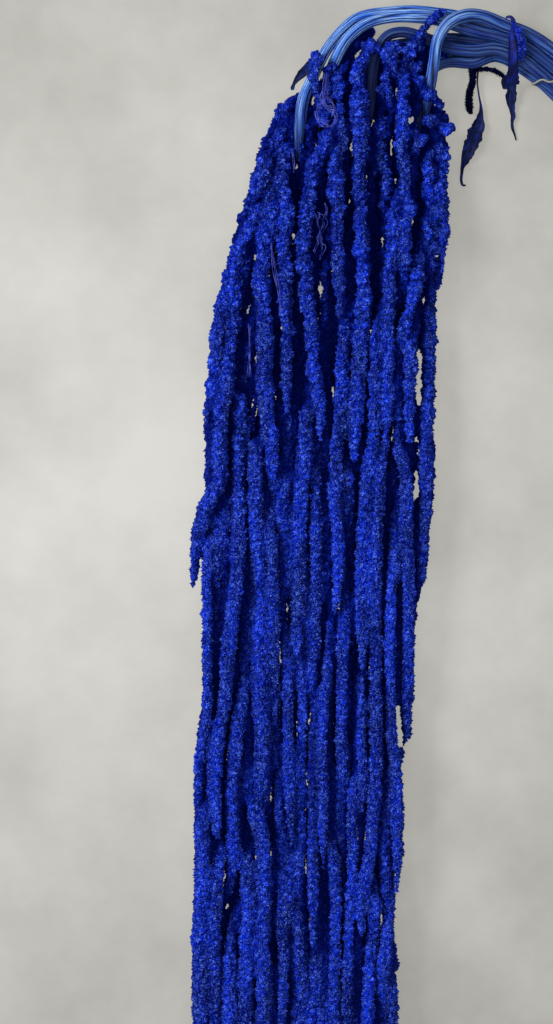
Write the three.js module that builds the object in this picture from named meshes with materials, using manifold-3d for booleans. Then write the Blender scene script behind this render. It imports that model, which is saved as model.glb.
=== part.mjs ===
// A bunch of hanging amaranth, preserved and dyed blue. Six ribbed stems are tied together, arch over
// at the crown, and each one carries a seed head: a central axis with long tassels hanging off it.
// The cut bunch lies on its back on a flat surface, so the way that it hung runs along -Y.
//
// Paths are drawn on a grid: across runs to the right, drop runs down from the top, and one step of
// the grid is UNIT millimetres. Heights above the surface are in millimetres.
import * as THREE from "three";
import { mergeVertices } from "three/addons/utils/BufferGeometryUtils.js";
import Module from "manifold-3d";

const wasm = await Module();
wasm.setup();

// Driving dimensions, in millimetres.
const BUNCH_LENGTH = 946; // from the crown of the arch to the lowest tassel tip
const STEM_RADIUS = 4.9; // of a stem where it was cut
const STRING_WIDTH = 1.8; // of the string that ties the stems
const GAP = 0.4; // left between neighbouring solids
const BUNCH_HEIGHT = 37; // of the tassels as they lie
const FLAT_DEPTH = 0.6; // how far a soft tassel is pressed flat where it lies on the surface

// The drawing grid.
const DRAWN_LENGTH = 1113; // BUNCH_LENGTH in steps of the grid
const UNIT = BUNCH_LENGTH / DRAWN_LENGTH;
const MIDDLE = [310, 560]; // the grid point that the model's X and Y are counted from

const STEP = 6; // spacing of the points of a tassel's centreline
const SEED = 20;

function randomFrom(seed) {
  let state = seed >>> 0;
  return () => {
    state = (state + 0x6d2b79f5) >>> 0;
    let t = state;
    t = Math.imul(t ^ (t >>> 15), t | 1);
    t ^= t + Math.imul(t ^ (t >>> 7), t | 61);
    return ((t ^ (t >>> 14)) >>> 0) / 4294967296;
  };
}

function place(across, drop, height) {
  return new THREE.Vector3((across - MIDDLE[0]) * UNIT, (MIDDLE[1] - drop) * UNIT, height);
}

function smoothLine(points, spacing) {
  const curve = new THREE.CatmullRomCurve3(points, false, "centripetal");
  return curve.getSpacedPoints(Math.max(2, Math.round(curve.getLength() / spacing)));
}

// A line with both of its ends moved on.
function lengthened(line, extra) {
  const onwards = (end, next) => end.clone().add(end.clone().sub(next).setLength(extra));
  return [onwards(line[0], line[1]), ...line.slice(1, -1), onwards(line.at(-1), line.at(-2))];
}

// A closed solid swept along a line of points: a lathe's rings, each moved to its point and given
// its own outline. outline(ring, angle, side) is the distance from the line, or [wide, thick] for a
// blade, which lies level. With twist, each ring is turned half a side from the one before.
function sweep(line, sides, outline, { blade = false, twist = false } = {}) {
  const last = line.length - 1;
  const profile = [new THREE.Vector2(0, 0)];
  line.forEach((_, ring) => profile.push(new THREE.Vector2(1, ring)));
  profile.push(new THREE.Vector2(0, last));
  const geometry = new THREE.LatheGeometry(profile, sides);
  const frames = new THREE.CatmullRomCurve3(line).computeFrenetFrames(last);
  const up = new THREE.Vector3(0, 0, 1);
  const position = geometry.getAttribute("position");
  for (let index = 0; index < position.count; index++) {
    const side = Math.floor(index / profile.length) % sides;
    const row = index % profile.length;
    const ring = Math.min(Math.max(row - 1, 0), last);
    const tangent = new THREE.Vector3()
      .subVectors(line[Math.min(ring + 1, last)], line[Math.max(ring - 1, 0)])
      .normalize();
    const right = blade ? new THREE.Vector3().crossVectors(tangent, up).normalize() : frames.binormals[ring];
    const above = blade ? new THREE.Vector3().crossVectors(right, tangent) : frames.normals[ring];
    const onAxis = row === 0 || row === profile.length - 1;
    const angle = (2 * Math.PI * (side + (twist ? ring / 2 : 0))) / sides;
    const [wide, thick = wide] = onAxis ? [0, 0] : [outline(ring, angle, side)].flat();
    const point = line[ring]
      .clone()
      .addScaledVector(right, wide * Math.sin(angle))
      .addScaledVector(above, thick * Math.cos(angle));
    position.setXYZ(index, point.x, point.y, point.z);
  }
  return solidOf(geometry);
}

function solidOf(geometry) {
  geometry.deleteAttribute("normal");
  geometry.deleteAttribute("uv");
  const merged = mergeVertices(geometry, 1e-4);
  const made = new wasm.Manifold(
    new wasm.Mesh({
      numProp: 3,
      vertProperties: new Float32Array(merged.attributes.position.array),
      triVerts: new Uint32Array(merged.index.array),
    }),
  );
  if (made.volume() <= 0) throw new Error("a swept solid is inside out");
  return made;
}

// The stems. Where they are tied, all six follow one curve, side by side in two layers of three.
// From there each has a path and heights of its own: the outer and inner one make the high arch, the
// centre one a smaller arch below it, the rear and lower ones pass behind, and the front one crosses over.
const BUNDLE = [[629, 178], [613, 144], [593, 112], [571, 86], [547, 64.5], [522, 47.5], [500, 39.5]];
const LANE_SLACK = 0.3; // stems side by side come this much closer where the bundle bends
const STEM_PITCH = 2 * STEM_RADIUS + GAP + LANE_SLACK;
const STRING_ROOM = 0.8; // between the string and the stems' round outline
const LOW_LAYER = STEM_RADIUS + STRING_ROOM + STRING_WIDTH;
const LAYER_SLACK = 0.2;
const HIGH_LAYER = LOW_LAYER + STEM_PITCH * Math.sin(Math.PI / 3) + LAYER_SLACK;
const STEMS = {
  outer: {
    lane: [0.75, LOW_LAYER],
    path: [[474, 21], [450, 14], [420, 10], [388, 11], [358, 17], [340, 32], [325, 52], [312, 79], [303, 100],
      [300, 126], [298, 160]],
    heights: [8, 7, 7.5, 7.5, 9, 11, 14, 18, 21, 21, 17],
  },
  inner: {
    lane: [0.25, HIGH_LAYER],
    path: [[474, 30], [450, 22], [420, 17], [390, 17.5], [365, 24], [347, 39], [336, 58], [326, 83], [320, 108],
      [316, 138]],
    heights: [16, 16, 17, 17, 18, 18, 16, 11, 7, 6],
  },
  rear: {
    lane: [-0.25, LOW_LAYER],
    path: [[474, 40], [450, 38], [428, 40], [408, 42], [390, 45], [374, 54], [362, 70], [354, 96], [349, 126]],
    heights: [8, 7, 6, 5.5, 5.5, 5.5, 7, 9, 10],
  },
  centre: {
    lane: [-0.75, HIGH_LAYER],
    path: [[474, 50], [450, 47], [426, 38], [404, 31.5], [388, 35], [378, 48], [373, 68], [371, 94], [369, 126]],
    heights: [16, 16, 16, 16, 16, 17, 18, 18, 16],
  },
  front: {
    lane: [1.25, HIGH_LAYER],
    path: [[484, 16.5], [466, 15.5], [449, 23], [438, 39], [434, 62], [430, 88], [427, 105], [426, 119]],
    heights: [19, 23, 27, 27, 24, 21, 17, 12],
  },
  lower: {
    lane: [-1.25, LOW_LAYER],
    path: [[474, 61], [450, 60], [434, 67], [423, 86], [419, 112], [418, 138]],
    heights: [8, 8, 8, 10, 11, 12],
  },
};
const STEM_SIDES = 8;
const STEM_RING = 22; // spacing of a stem's rings
const RIB_DEPTH = 0.12; // of the grooves between a stem's ribs, as a share of its radius
const STEM_TAPER = 0.08; // how much thinner a stem is where its seed head starts, as a share
const STEM_END = 0.55; // width of its last ring, among the tassels, as a share

// A lane's points where the stems are tied: beside the bundle's curve by whole or part pitches.
function laneLine([pitches, height]) {
  const middle = BUNDLE.map(([across, drop]) => place(across, drop, height));
  return middle.map((point, i) => {
    const along = new THREE.Vector3()
      .subVectors(middle[Math.min(i + 1, middle.length - 1)], middle[Math.max(i - 1, 0)])
      .normalize();
    return point.clone().add(new THREE.Vector3(along.y, -along.x, 0).multiplyScalar(pitches * STEM_PITCH));
  });
}

function stemLine(stem, spacing) {
  const own = stem.path.map(([across, drop], i) => place(across, drop, stem.heights[i]));
  return smoothLine([...laneLine(stem.lane), ...own], spacing);
}

function stemRadius(share) {
  return STEM_RADIUS * (1 - STEM_TAPER * share);
}

function makeStem(stem, extra = 0) {
  const line = stemLine(stem, STEM_RING);
  const last = line.length - 1;
  return sweep(lengthened(line, extra), STEM_SIDES, (ring, angle, side) => {
    const groove = 1 - RIB_DEPTH * (side % 2);
    const end = ring === last ? STEM_END : 1;
    return stemRadius(ring / last) * groove * end + extra;
  });
}

// The seed heads. Each one's axis carries on from its stem, inside the bunch, and its tassels leave it.
const AXIS_WIDTH = 11;
const AXIS_HEIGHT = 18;
const AXES = {
  outer: [[301, 104], [293, 160], [284, 195], [268, 232], [250, 290], [235, 360], [223, 450], [215, 550],
    [212, 650], [210, 760], [208, 870], [206, 960]],
  inner: [[319, 92], [310, 150], [305, 200], [298, 270], [285, 340], [272, 430], [262, 520], [256, 640],
    [252, 760], [250, 880], [248, 985]],
  rear: [[354, 66], [347, 120], [338, 170], [328, 240], [318, 330], [308, 430], [300, 530], [294, 640],
    [291, 760], [290, 880], [288, 960]],
  centre: [[380, 56], [372, 100], [366, 190], [360, 270], [352, 360], [344, 460], [337, 560], [332, 660],
    [330, 780], [332, 900], [333, 965]],
  front: [[424, 60], [421, 110], [417, 160], [411, 220], [400, 300], [388, 390], [378, 480], [370, 580],
    [365, 690], [363, 800], [362, 930]],
  lower: [[431, 96], [431, 130], [428, 190], [420, 250], [412, 310], [410, 400], [407, 480], [404, 570],
    [399, 680], [391, 790], [386, 880], [385, 960]],
};

// The tassels on the front of the bunch, [seed head, width, path from its visible top to its tip].
const FRONT_HEIGHT = 31;
const FRONT_TASSELS = [
  ["outer", 12, [[290, 105], [277, 113], [268, 134], [262, 160], [256, 185], [246, 209]]],
  ["outer", 12, [[289, 127], [277, 138], [268, 158], [261, 185], [252, 212], [241, 240], [231, 263]]],
  ["outer", 12, [[266, 206], [250, 226], [238, 248], [227, 275], [219, 305], [213, 340], [209, 375],
    [207, 410], [206, 445], [208, 472]]],
  ["outer", 14, [[266, 198], [253, 228], [241, 262], [233, 300], [228, 345], [224, 390], [217, 435],
    [212, 475], [206, 508], [197, 535], [193, 560], [191, 586]]],
  ["outer", 14, [[248, 392], [238, 403], [240, 470], [240, 540], [234, 600], [228, 660], [226, 700],
    [218, 745], [214, 790], [212, 838]]],
  ["outer", 10, [[214, 535], [206, 560], [207, 600], [206, 650], [205, 700], [201, 740], [197, 775], [196, 838]]],
  ["outer", 14, [[211, 808], [203, 830], [201, 880], [199, 930], [200, 980], [200, 1040], [201, 1078]]],
  ["outer", 12, [[221, 832], [215, 858], [214, 920], [214, 980], [213, 1040], [212, 1098]]],
  ["outer", 12, [[292, 146], [282, 155], [281, 190], [284, 235], [286, 280], [287, 330], [287, 375], [288, 413]]],
  ["outer", 16, [[278, 158], [267, 180], [262, 225], [262, 275], [264, 325], [266, 370], [268, 410],
    [271, 450], [272, 488]]],
  ["inner", 9, [[262, 383], [253, 397], [252, 420], [253, 438]]],
  ["inner", 15, [[264, 434], [255, 448], [257, 480], [261, 520], [262, 560], [262, 620], [260, 680],
    [262, 730], [264, 790], [264, 845]]],
  ["inner", 11, [[268, 498], [274, 530], [275, 600], [276, 660], [276, 720], [274, 770]]],
  ["inner", 9, [[252, 560], [244, 585], [245, 620], [245, 653]]],
  ["inner", 14, [[251, 668], [243, 690], [238, 725], [233, 770], [230, 810], [230, 860], [229, 916]]],
  ["inner", 14, [[243, 902], [231, 925], [230, 970], [231, 1020], [231, 1090]]],
  ["inner", 13, [[252, 842], [247, 868], [246, 920], [246, 980], [245, 1040], [244, 1110]]],
  ["inner", 15, [[256, 796], [264, 840], [264, 920], [265, 980], [265, 1040], [264, 1118]]],
  ["rear", 14, [[340, 126], [324, 138], [312, 168], [306, 215], [303, 255], [306, 290], [312, 325],
    [316, 370], [319, 410], [321, 440]]],
  ["rear", 13, [[340, 134], [335, 162], [339, 200], [338, 250], [340, 290], [342, 319]]],
  ["rear", 13, [[314, 402], [308, 428], [303, 480], [301, 530], [299, 580], [298, 630], [297, 656]]],
  ["rear", 11, [[320, 425], [318, 455], [317, 490], [316, 550], [318, 600], [317, 650]]],
  ["rear", 11, [[290, 470], [279, 490], [277, 540], [281, 600], [286, 660], [289, 720], [290, 780], [292, 842]]],
  ["rear", 10, [[298, 632], [302, 660], [301, 720], [302, 780], [303, 840], [303, 932]]],
  ["rear", 9, [[289, 824], [284, 850], [284, 900], [284, 950], [283, 1000], [281, 1062]]],
  ["rear", 9, [[294, 846], [294, 880], [293, 920], [292, 950]]],
  ["rear", 9, [[292, 905], [300, 930], [302, 980], [301, 1040], [300, 1086]]],
  ["centre", 15, [[372, 42], [361, 47], [355, 66], [358, 100], [360, 150], [361, 200], [363, 250], [365, 300],
    [363, 345], [358, 385], [356, 420], [358, 460]]],
  ["centre", 12, [[351, 296], [344, 345], [342, 395], [338, 450], [338, 500], [340, 560], [336, 612]]],
  ["centre", 11, [[347, 462], [343, 500], [346, 560], [345, 620], [343, 680], [342, 740], [344, 800], [342, 892]]],
  ["centre", 10, [[334, 580], [332, 620], [331, 660], [325, 700], [323, 750], [324, 810], [323, 868]]],
  ["centre", 11, [[324, 682], [315, 705], [314, 760], [313, 820], [314, 880], [313, 948]]],
  ["centre", 11, [[332, 838], [336, 870], [337, 930], [336, 980], [337, 1040], [335, 1104]]],
  ["centre", 8, [[345, 540], [354, 565], [356, 600], [357, 653]]],
  ["front", 13, [[418, 52], [408, 44], [403, 60], [403, 110], [402, 150], [404, 190], [406, 240], [409, 290],
    [411, 340], [411, 390], [410, 442]]],
  ["front", 11, [[412, 176], [398, 190], [392, 230], [390, 280], [388, 330], [385, 400], [386, 452]]],
  ["front", 12, [[400, 296], [386, 312], [380, 360], [378, 410], [374, 450], [368, 500], [363, 550],
    [362, 610], [364, 668]]],
  ["front", 12, [[380, 446], [378, 480], [376, 530], [376, 590], [376, 650], [377, 720], [376, 790],
    [371, 850], [366, 936]]],
  ["front", 9, [[365, 690], [362, 720], [362, 770], [358, 832]]],
  ["front", 10, [[362, 772], [355, 800], [354, 860], [351, 920], [348, 980], [348, 1064]]],
  ["front", 12, [[363, 866], [370, 890], [371, 940], [370, 990], [368, 1040], [367, 1100]]],
  ["lower", 12, [[426, 128], [434, 126], [441, 131], [446, 145], [446, 165], [444, 195], [448, 225], [447, 250], [442, 272]]],
  ["lower", 13, [[430, 146], [427, 170], [430, 210], [429, 250], [430, 290], [431, 340], [429, 390],
    [427, 440], [426, 490], [424, 545], [420, 603]]],
  ["lower", 12, [[424, 232], [413, 255], [411, 300], [410, 350], [408, 400], [407, 460], [407, 520],
    [409, 580], [410, 640], [409, 700], [409, 746]]],
  ["lower", 12, [[408, 480], [398, 505], [394, 560], [391, 620], [391, 680], [394, 740], [397, 790], [400, 892]]],
  ["lower", 13, [[393, 752], [386, 780], [385, 850], [386, 900], [386, 950], [388, 1000], [389, 1070]]],
  ["lower", 9, [[388, 935], [393, 960], [397, 990], [397, 1040], [398, 1082]]],
];

// Short tassels round the tops of the seed heads, with the height that each starts to settle from.
const TOP_TASSELS = [
  ["inner", 9, [[318, 98], [314, 84], [312, 66], [318, 50]], 34],
  ["inner", 8, [[309, 140], [305, 128], [304, 110]], 20],
  ["inner", 12, [[322, 94], [328, 84], [331, 77]], 26],
  ["inner", 12, [[321, 98], [328, 108], [327, 128]], 26],
  ["rear", 8, [[352, 62], [348, 52], [355, 42], [365, 34], [374, 28]], 8],
  ["rear", 13, [[351, 70], [346, 64], [341, 70], [340, 88], [341, 128]], 22],
  ["rear", 12, [[348, 84], [338, 82], [331, 90], [329, 106], [330, 132]], 20],
  ["rear", 12, [[336, 132], [323, 144], [321, 170], [326, 198]], 28],
  ["centre", 10, [[382, 52], [386, 62], [391, 82], [395, 101]], 27],
  ["centre", 8, [[380, 76], [391, 86], [394, 104], [392, 124], [386, 140]], 20],
  ["centre", 10, [[384, 48], [392, 42], [398, 56], [397, 76]], 31],
  ["centre", 12, [[374, 140], [386, 156], [390, 200], [388, 250], [386, 292]], 20],
  ["front", 12, [[422, 56], [416, 42], [420, 30], [428, 20], [436, 13], [447, 11]], 27],
  ["front", 8, [[421, 80], [419, 89], [427, 96], [435, 101], [440, 108]], 33],
  ["lower", 10, [[430, 98], [420, 92], [417, 76], [418, 62]], 22],
  ["lower", 7, [[440, 130], [447, 129], [453, 128]], 30],
];

// Tassels deep in the bunch that show between the ones on the front.
const DEEP_HEIGHT = 7;
const DEEP_TASSELS = [
  ["outer", 10, [[276, 200], [275, 232], [274, 270], [274, 310]]],
  ["outer", 11, [[222, 570], [220, 620], [219, 660], [219, 750]]],
  ["outer", 10, [[240, 590], [238, 630], [238, 730]]],
  ["outer", 9, [[221, 900], [221, 950], [220, 1070]]],
  ["inner", 12, [[303, 130], [297, 160], [296, 190], [294, 230]]],
  ["inner", 15, [[262, 290], [250, 320], [247, 360], [250, 430]]],
  ["inner", 10, [[303, 290], [300, 320], [299, 350], [293, 430]]],
  ["inner", 10, [[268, 780], [268, 820], [268, 900]]],
  ["inner", 11, [[254, 870], [254, 930], [253, 1070]]],
  ["inner", 11, [[272, 945], [275, 985], [274, 1080]]],
  ["rear", 11, [[344, 120], [347, 145], [346, 230]]],
  ["rear", 11, [[325, 180], [322, 210], [323, 300]]],
  ["rear", 13, [[331, 350], [330, 385], [326, 465]]],
  ["rear", 10, [[305, 470], [309, 510], [309, 590]]],
  ["rear", 12, [[305, 860], [309, 910], [308, 1075]]],
  ["centre", 14, [[384, 85], [388, 105], [388, 145], [386, 230]]],
  ["centre", 12, [[367, 142], [375, 165], [377, 200], [372, 250], [371, 350], [369, 400]]],
  ["centre", 13, [[350, 430], [355, 460], [355, 500], [352, 590]]],
  ["centre", 10, [[349, 610], [349, 650], [349, 740]]],
  ["centre", 13, [[328, 820], [325, 860], [324, 1080]]],
  ["front", 10, [[420, 56], [413, 62], [412, 80], [413, 120]]],
  ["front", 11, [[383, 500], [384, 540], [383, 660], [380, 760]]],
  ["front", 14, [[361, 860], [359, 910], [357, 1075]]],
  ["front", 11, [[374, 930], [378, 970], [377, 1075]]],
];

// The other tassels on the underside, by a rule: each seed head sheds them in turn to its left and right.
const UNDER_HEIGHT = 6;
const UNDER_TASSELS = {
  count: 3, // for each seed head
  width: 16,
  roots: [0.01, 0.68], // where the roots start, and how far on they spread, as shares of the axis
  crowding: 1.2, // above 1, the roots crowd towards the top
  unevenness: 0.3, // of the spacing between roots
  length: [310, 380],
  bends: [0.08, 0.31, 0.54, 0.77, 1], // shares of the length where a tassel may wander
  aside: [10.2, 8.5], // how far off the axis it lies: at least, and by how much more at most
  wander: 4,
};

// How finely each kind of tassel is modelled: its sides, and the steps from one ring to the next.
const MESHING = {
  axis: { sides: 3, every: 9 },
  wide: { sides: 5, every: 4 },
  narrow: { sides: 4, every: 4 },
  top: { sides: 4, every: 3 },
  under: { sides: 4, every: 7 },
};
const WIDE = 11; // front tassels wider than this have more sides
const ROOT_RISE = 4; // how far up the axis a front tassel's root lies from its visible top

const FULLNESS = 1.12; // a tassel's widest florets against the width that it is drawn at

// How far the bunch reaches to its left and right, [drop, across].
const LEFT_EDGE = [[90, 283], [110, 274], [150, 257], [203, 243], [235, 231], [270, 222], [310, 213], [350, 209],
  [410, 205], [460, 204], [500, 197], [540, 189], [590, 186], [598, 202], [720, 202], [745, 194], [835, 192],
  [846, 196], [880, 195], [930, 192], [1113, 193]];
const RIGHT_EDGE = [[90, 450], [115, 457], [140, 457], [155, 449], [190, 449], [250, 453], [275, 447], [292, 439],
  [400, 438], [480, 433], [560, 430], [600, 426], [616, 416], [735, 414], [756, 405], [890, 405], [905, 397],
  [1000, 399], [1113, 401]];

// The long narrow slit between two tassels of the lower seed head: half its width, and [drop, across].
const SLIT_HALF = 1.7;
const SLIT = [[340, 418], [500, 418]];

// How the tassels settle.
const SETTLING_ROUNDS = 260;
const SINKING_SHARE = 0.6; // of the rounds; in the last ones nothing sinks further
const SINK = 0.12; // in one round
const PULL = { axis: 0.01, under: 0.01, deep: 0.06, front: 0.06, top: 0.06 }; // to the drawn place, in a round
const SMOOTHING = 0.3;
const ROOM = 1.12; // how far tassels keep apart, against their drawn widths
const CLEARANCE = 1.2 * GAP;
const SIDE_BY_SIDE = 0.7 * STEP; // points with less than this between them along Y push each other
const ROOT_ZONE = 20; // a tassel may sink into its own seed head this near its root

function makeStrand(head, kind, meshing, width, path, heights) {
  const points = path.map(([across, drop], i) => place(across, drop, heights[Math.min(i, heights.length - 1)]));
  const line = smoothLine(points, STEP);
  return { head, kind, ...meshing, radius: (width / 2) * UNIT, line, wanted: line.map((p) => p.clone()) };
}

// The point of a seed head's axis at a given drop, as a grid pair.
function axisAt(head, drop) {
  const axis = AXES[head];
  const after = axis.findIndex(([, y]) => y >= drop);
  if (after === 0) return axis[0];
  const [a, b] = after > 0 ? [axis[after - 1], axis[after]] : axis.slice(-2);
  const share = Math.min(1, (drop - a[1]) / (b[1] - a[1]));
  return [a[0] + share * (b[0] - a[0]), a[1] + share * (b[1] - a[1])];
}

function underPath(head, turn, random) {
  const { count, roots, crowding, unevenness, length, bends, aside, wander } = UNDER_TASSELS;
  const [top, bottom] = [AXES[head][0][1], AXES[head].at(-1)[1]];
  const share = Math.min(1, Math.pow((turn + unevenness * random()) / (count - 1), crowding));
  const drop = top + (bottom - top) * (roots[0] + roots[1] * share);
  const reach = Math.min(length[0] + (length[1] - length[0]) * random(), DRAWN_LENGTH - drop);
  const side = (turn % 2 ? 1 : -1) * (aside[0] + aside[1] * random());
  const path = [axisAt(head, drop)];
  for (const bend of bends) {
    const at = drop + reach * bend;
    path.push([axisAt(head, at)[0] + side + wander * (random() - 0.5), at]);
  }
  return path;
}

function makeStrands() {
  const strands = Object.entries(AXES).map(([head, path]) =>
    makeStrand(head, "axis", MESHING.axis, AXIS_WIDTH, path, [AXIS_HEIGHT]),
  );
  for (const [head, width, path] of FRONT_TASSELS) {
    const rooted = [axisAt(head, path[0][1] - ROOT_RISE), ...path];
    const meshing = width > WIDE ? MESHING.wide : MESHING.narrow;
    strands.push(makeStrand(head, "front", meshing, width, rooted, [AXIS_HEIGHT, FRONT_HEIGHT - 3, FRONT_HEIGHT]));
  }
  for (const [head, width, path, height] of TOP_TASSELS) {
    const rooted = [axisAt(head, path[0][1] + ROOT_RISE), ...path];
    strands.push(makeStrand(head, "top", MESHING.top, width, rooted, [AXIS_HEIGHT, height]));
  }
  for (const [head, width, path] of DEEP_TASSELS) {
    const rooted = [axisAt(head, path[0][1] - ROOT_RISE), ...path];
    strands.push(makeStrand(head, "deep", MESHING.under, width, rooted, [AXIS_HEIGHT, DEEP_HEIGHT]));
  }
  const random = randomFrom(SEED);
  for (const head of Object.keys(AXES)) {
    for (let turn = 0; turn < UNDER_TASSELS.count; turn++) {
      const path = underPath(head, turn, random);
      strands.push(makeStrand(head, "under", MESHING.under, UNDER_TASSELS.width, path, [AXIS_HEIGHT, UNDER_HEIGHT]));
    }
  }
  return strands;
}

// An edge of the bunch at a given drop, as an X in millimetres.
function edgeAt(edge, y) {
  const drop = MIDDLE[1] - y / UNIT;
  const after = edge.findIndex(([d], i) => i > 0 && d >= drop);
  const [a, b] = after > 0 ? [edge[after - 1], edge[after]] : edge.slice(-2);
  const share = Math.min(1, Math.max(0, (drop - a[0]) / (b[0] - a[0])));
  return (a[1] + share * (b[1] - a[1]) - MIDDLE[0]) * UNIT;
}

// Lets the tassels settle: each point sinks, keeps off its neighbours, the stems and the surface,
// and stays near the place it was drawn at. Only across and height change, never the drop.
function settle(strands, stemPoints) {
  const points = strands.flatMap((strand) =>
    strand.line.map((p, i) => ({ p, strand, nearRoot: i * STEP < ROOT_ZONE })),
  );
  const pairs = [...tasselPairs(points), ...stemPairs(points, stemPoints)];
  const axes = Object.fromEntries(strands.filter(({ kind }) => kind === "axis").map((s) => [s.head, s]));
  for (let round = 0; round < SETTLING_ROUNDS; round++) {
    const sink = round < SINKING_SHARE * SETTLING_ROUNDS ? SINK : 0;
    for (const strand of strands) relax(strand, sink);
    for (const pair of pairs) pushApart(pair);
    for (const strand of strands) {
      holdRoot(strand, axes[strand.head]);
      keepInside(strand);
    }
  }
}

// Each pair of points that lie side by side in two tassels, and how far apart they belong. share is
// how much of a push the second one takes.
function tasselPairs(points) {
  const rows = new Map();
  const rowOf = ({ p }) => Math.round(p.y / STEP);
  for (const point of points) rows.set(rowOf(point), [...(rows.get(rowOf(point)) ?? []), point]);
  const pairs = [];
  for (const a of points) {
    for (const b of [...rows.get(rowOf(a)), ...(rows.get(rowOf(a) + 1) ?? [])]) {
      if (a.strand === b.strand || Math.abs(a.p.y - b.p.y) > SIDE_BY_SIDE) continue;
      if (a.strand.head === b.strand.head && (a.nearRoot || b.nearRoot)) continue;
      pairs.push({ a: a.p, b: b.p, apart: (a.strand.radius + b.strand.radius) * ROOM + CLEARANCE, share: 0.5 });
    }
  }
  return pairs;
}

function stemPairs(points, stemPoints) {
  return points.flatMap(({ p, strand }) =>
    stemPoints
      .filter((stem) => Math.abs(p.y - stem.p.y) <= STEP / 2)
      .map((stem) => ({ a: p, b: stem.p, apart: strand.radius * ROOM + stem.radius + CLEARANCE, share: 0 })),
  );
}

function relax({ line, wanted, kind }, sink) {
  line.forEach((p, i) => {
    p.x += (wanted[i].x - p.x) * PULL[kind];
    p.z -= sink;
    if (i === 0 || i === line.length - 1) return;
    p.x += SMOOTHING * ((line[i - 1].x + line[i + 1].x) / 2 - p.x);
    p.z += SMOOTHING * ((line[i - 1].z + line[i + 1].z) / 2 - p.z);
  });
}

function pushApart({ a, b, apart, share }) {
  const dx = a.x - b.x;
  const dz = a.z - b.z;
  const distance = Math.hypot(dx, dz) || 1e-6;
  if (distance >= apart) return;
  const push = (apart - distance) / distance;
  a.x += dx * push * (1 - share);
  a.z += dz * push * (1 - share);
  b.x -= dx * push * share;
  b.z -= dz * push * share;
}

// A tassel's first point stays on the axis of its seed head.
function holdRoot({ line, kind }, axis) {
  if (kind === "axis") return;
  const root = nearest(axis.line, line[0]);
  line[0].x = root.x;
  line[0].z = root.z;
}

function keepInside({ line, radius }) {
  for (const p of line) {
    const [left, right] = [edgeAt(LEFT_EDGE, p.y) + radius * ROOM, edgeAt(RIGHT_EDGE, p.y) - radius * ROOM];
    const [low, high] = [radius * FULLNESS - FLAT_DEPTH, BUNCH_HEIGHT - radius * FULLNESS];
    p.x = THREE.MathUtils.clamp(p.x, left, right);
    p.z = THREE.MathUtils.clamp(p.z, low, high);
    keepOffSlit(p, SLIT_HALF * UNIT + radius);
  }
}

function keepOffSlit(p, room) {
  const drop = MIDDLE[1] - p.y / UNIT;
  if (drop < SLIT[0][0] || drop > SLIT[1][0]) return;
  const aside = p.x - edgeAt(SLIT, p.y);
  if (Math.abs(aside) < room) p.x += Math.sign(aside) * (room - Math.abs(aside));
}

function nearest(line, point) {
  return line.reduce((best, p) => (Math.abs(p.y - point.y) < Math.abs(best.y - point.y) ? p : best));
}

// A tassel's knobbly surface: bunches of florets stand out of it by turns, and it tapers to its tip.
const RELIEF = 0.2;
const TIP_LENGTH = 46;
const TIP_WIDTH = 0.5; // where the tip narrows to, as a share of the tassel's width
const END_WIDTH = 0.32; // the same for the last ring of all

function makeRelief(line, sides, seed) {
  const random = randomFrom(seed);
  return line.map(() => Array.from({ length: sides }, () => 1 - RELIEF * random()));
}

// The points of a tassel that get a ring: every so many, and the last one.
function ringPoints({ line, every }) {
  const kept = line.filter((_, i) => i % every === 0 && line.length - 1 - i >= every / 2);
  return [...kept, line.at(-1)];
}

function makeTassel(strand, extra = 0) {
  const line = ringPoints(strand);
  const tip = line.at(-1);
  const relief = makeRelief(line, strand.sides, Math.round(1000 * strand.wanted.at(-1).x));
  return sweep(lengthened(line, extra), strand.sides, (ring, angle, side) => {
    const narrowing = Math.min(1, TIP_WIDTH + ((1 - TIP_WIDTH) * line[ring].distanceTo(tip)) / TIP_LENGTH);
    const taper = line[ring] === tip ? END_WIDTH : narrowing;
    return strand.radius * FULLNESS * taper * (extra ? 1 : relief[ring][side]) + extra;
  }, { twist: true });
}

function union(solids) {
  return wasm.Manifold.union(solids);
}

// What is left in one piece with most of a solid; the scraps that a cut leaves are dropped.
function largest(solid) {
  const bodies = solid.decompose().sort((a, b) => b.volume() - a.volume());
  return bodies[0];
}

function meshOf(solid, name, material) {
  const { numProp, numVert, vertProperties, triVerts } = solid.getMesh();
  const positions = new Float32Array(numVert * 3);
  for (let i = 0; i < numVert; i++) {
    positions.set(vertProperties.subarray(i * numProp, i * numProp + 3), i * 3);
  }
  const geometry = new THREE.BufferGeometry()
    .setAttribute("position", new THREE.BufferAttribute(positions, 3))
    .setIndex(new THREE.BufferAttribute(triVerts, 1));
  const mesh = new THREE.Mesh(geometry, material);
  mesh.name = name;
  return mesh;
}

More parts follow.
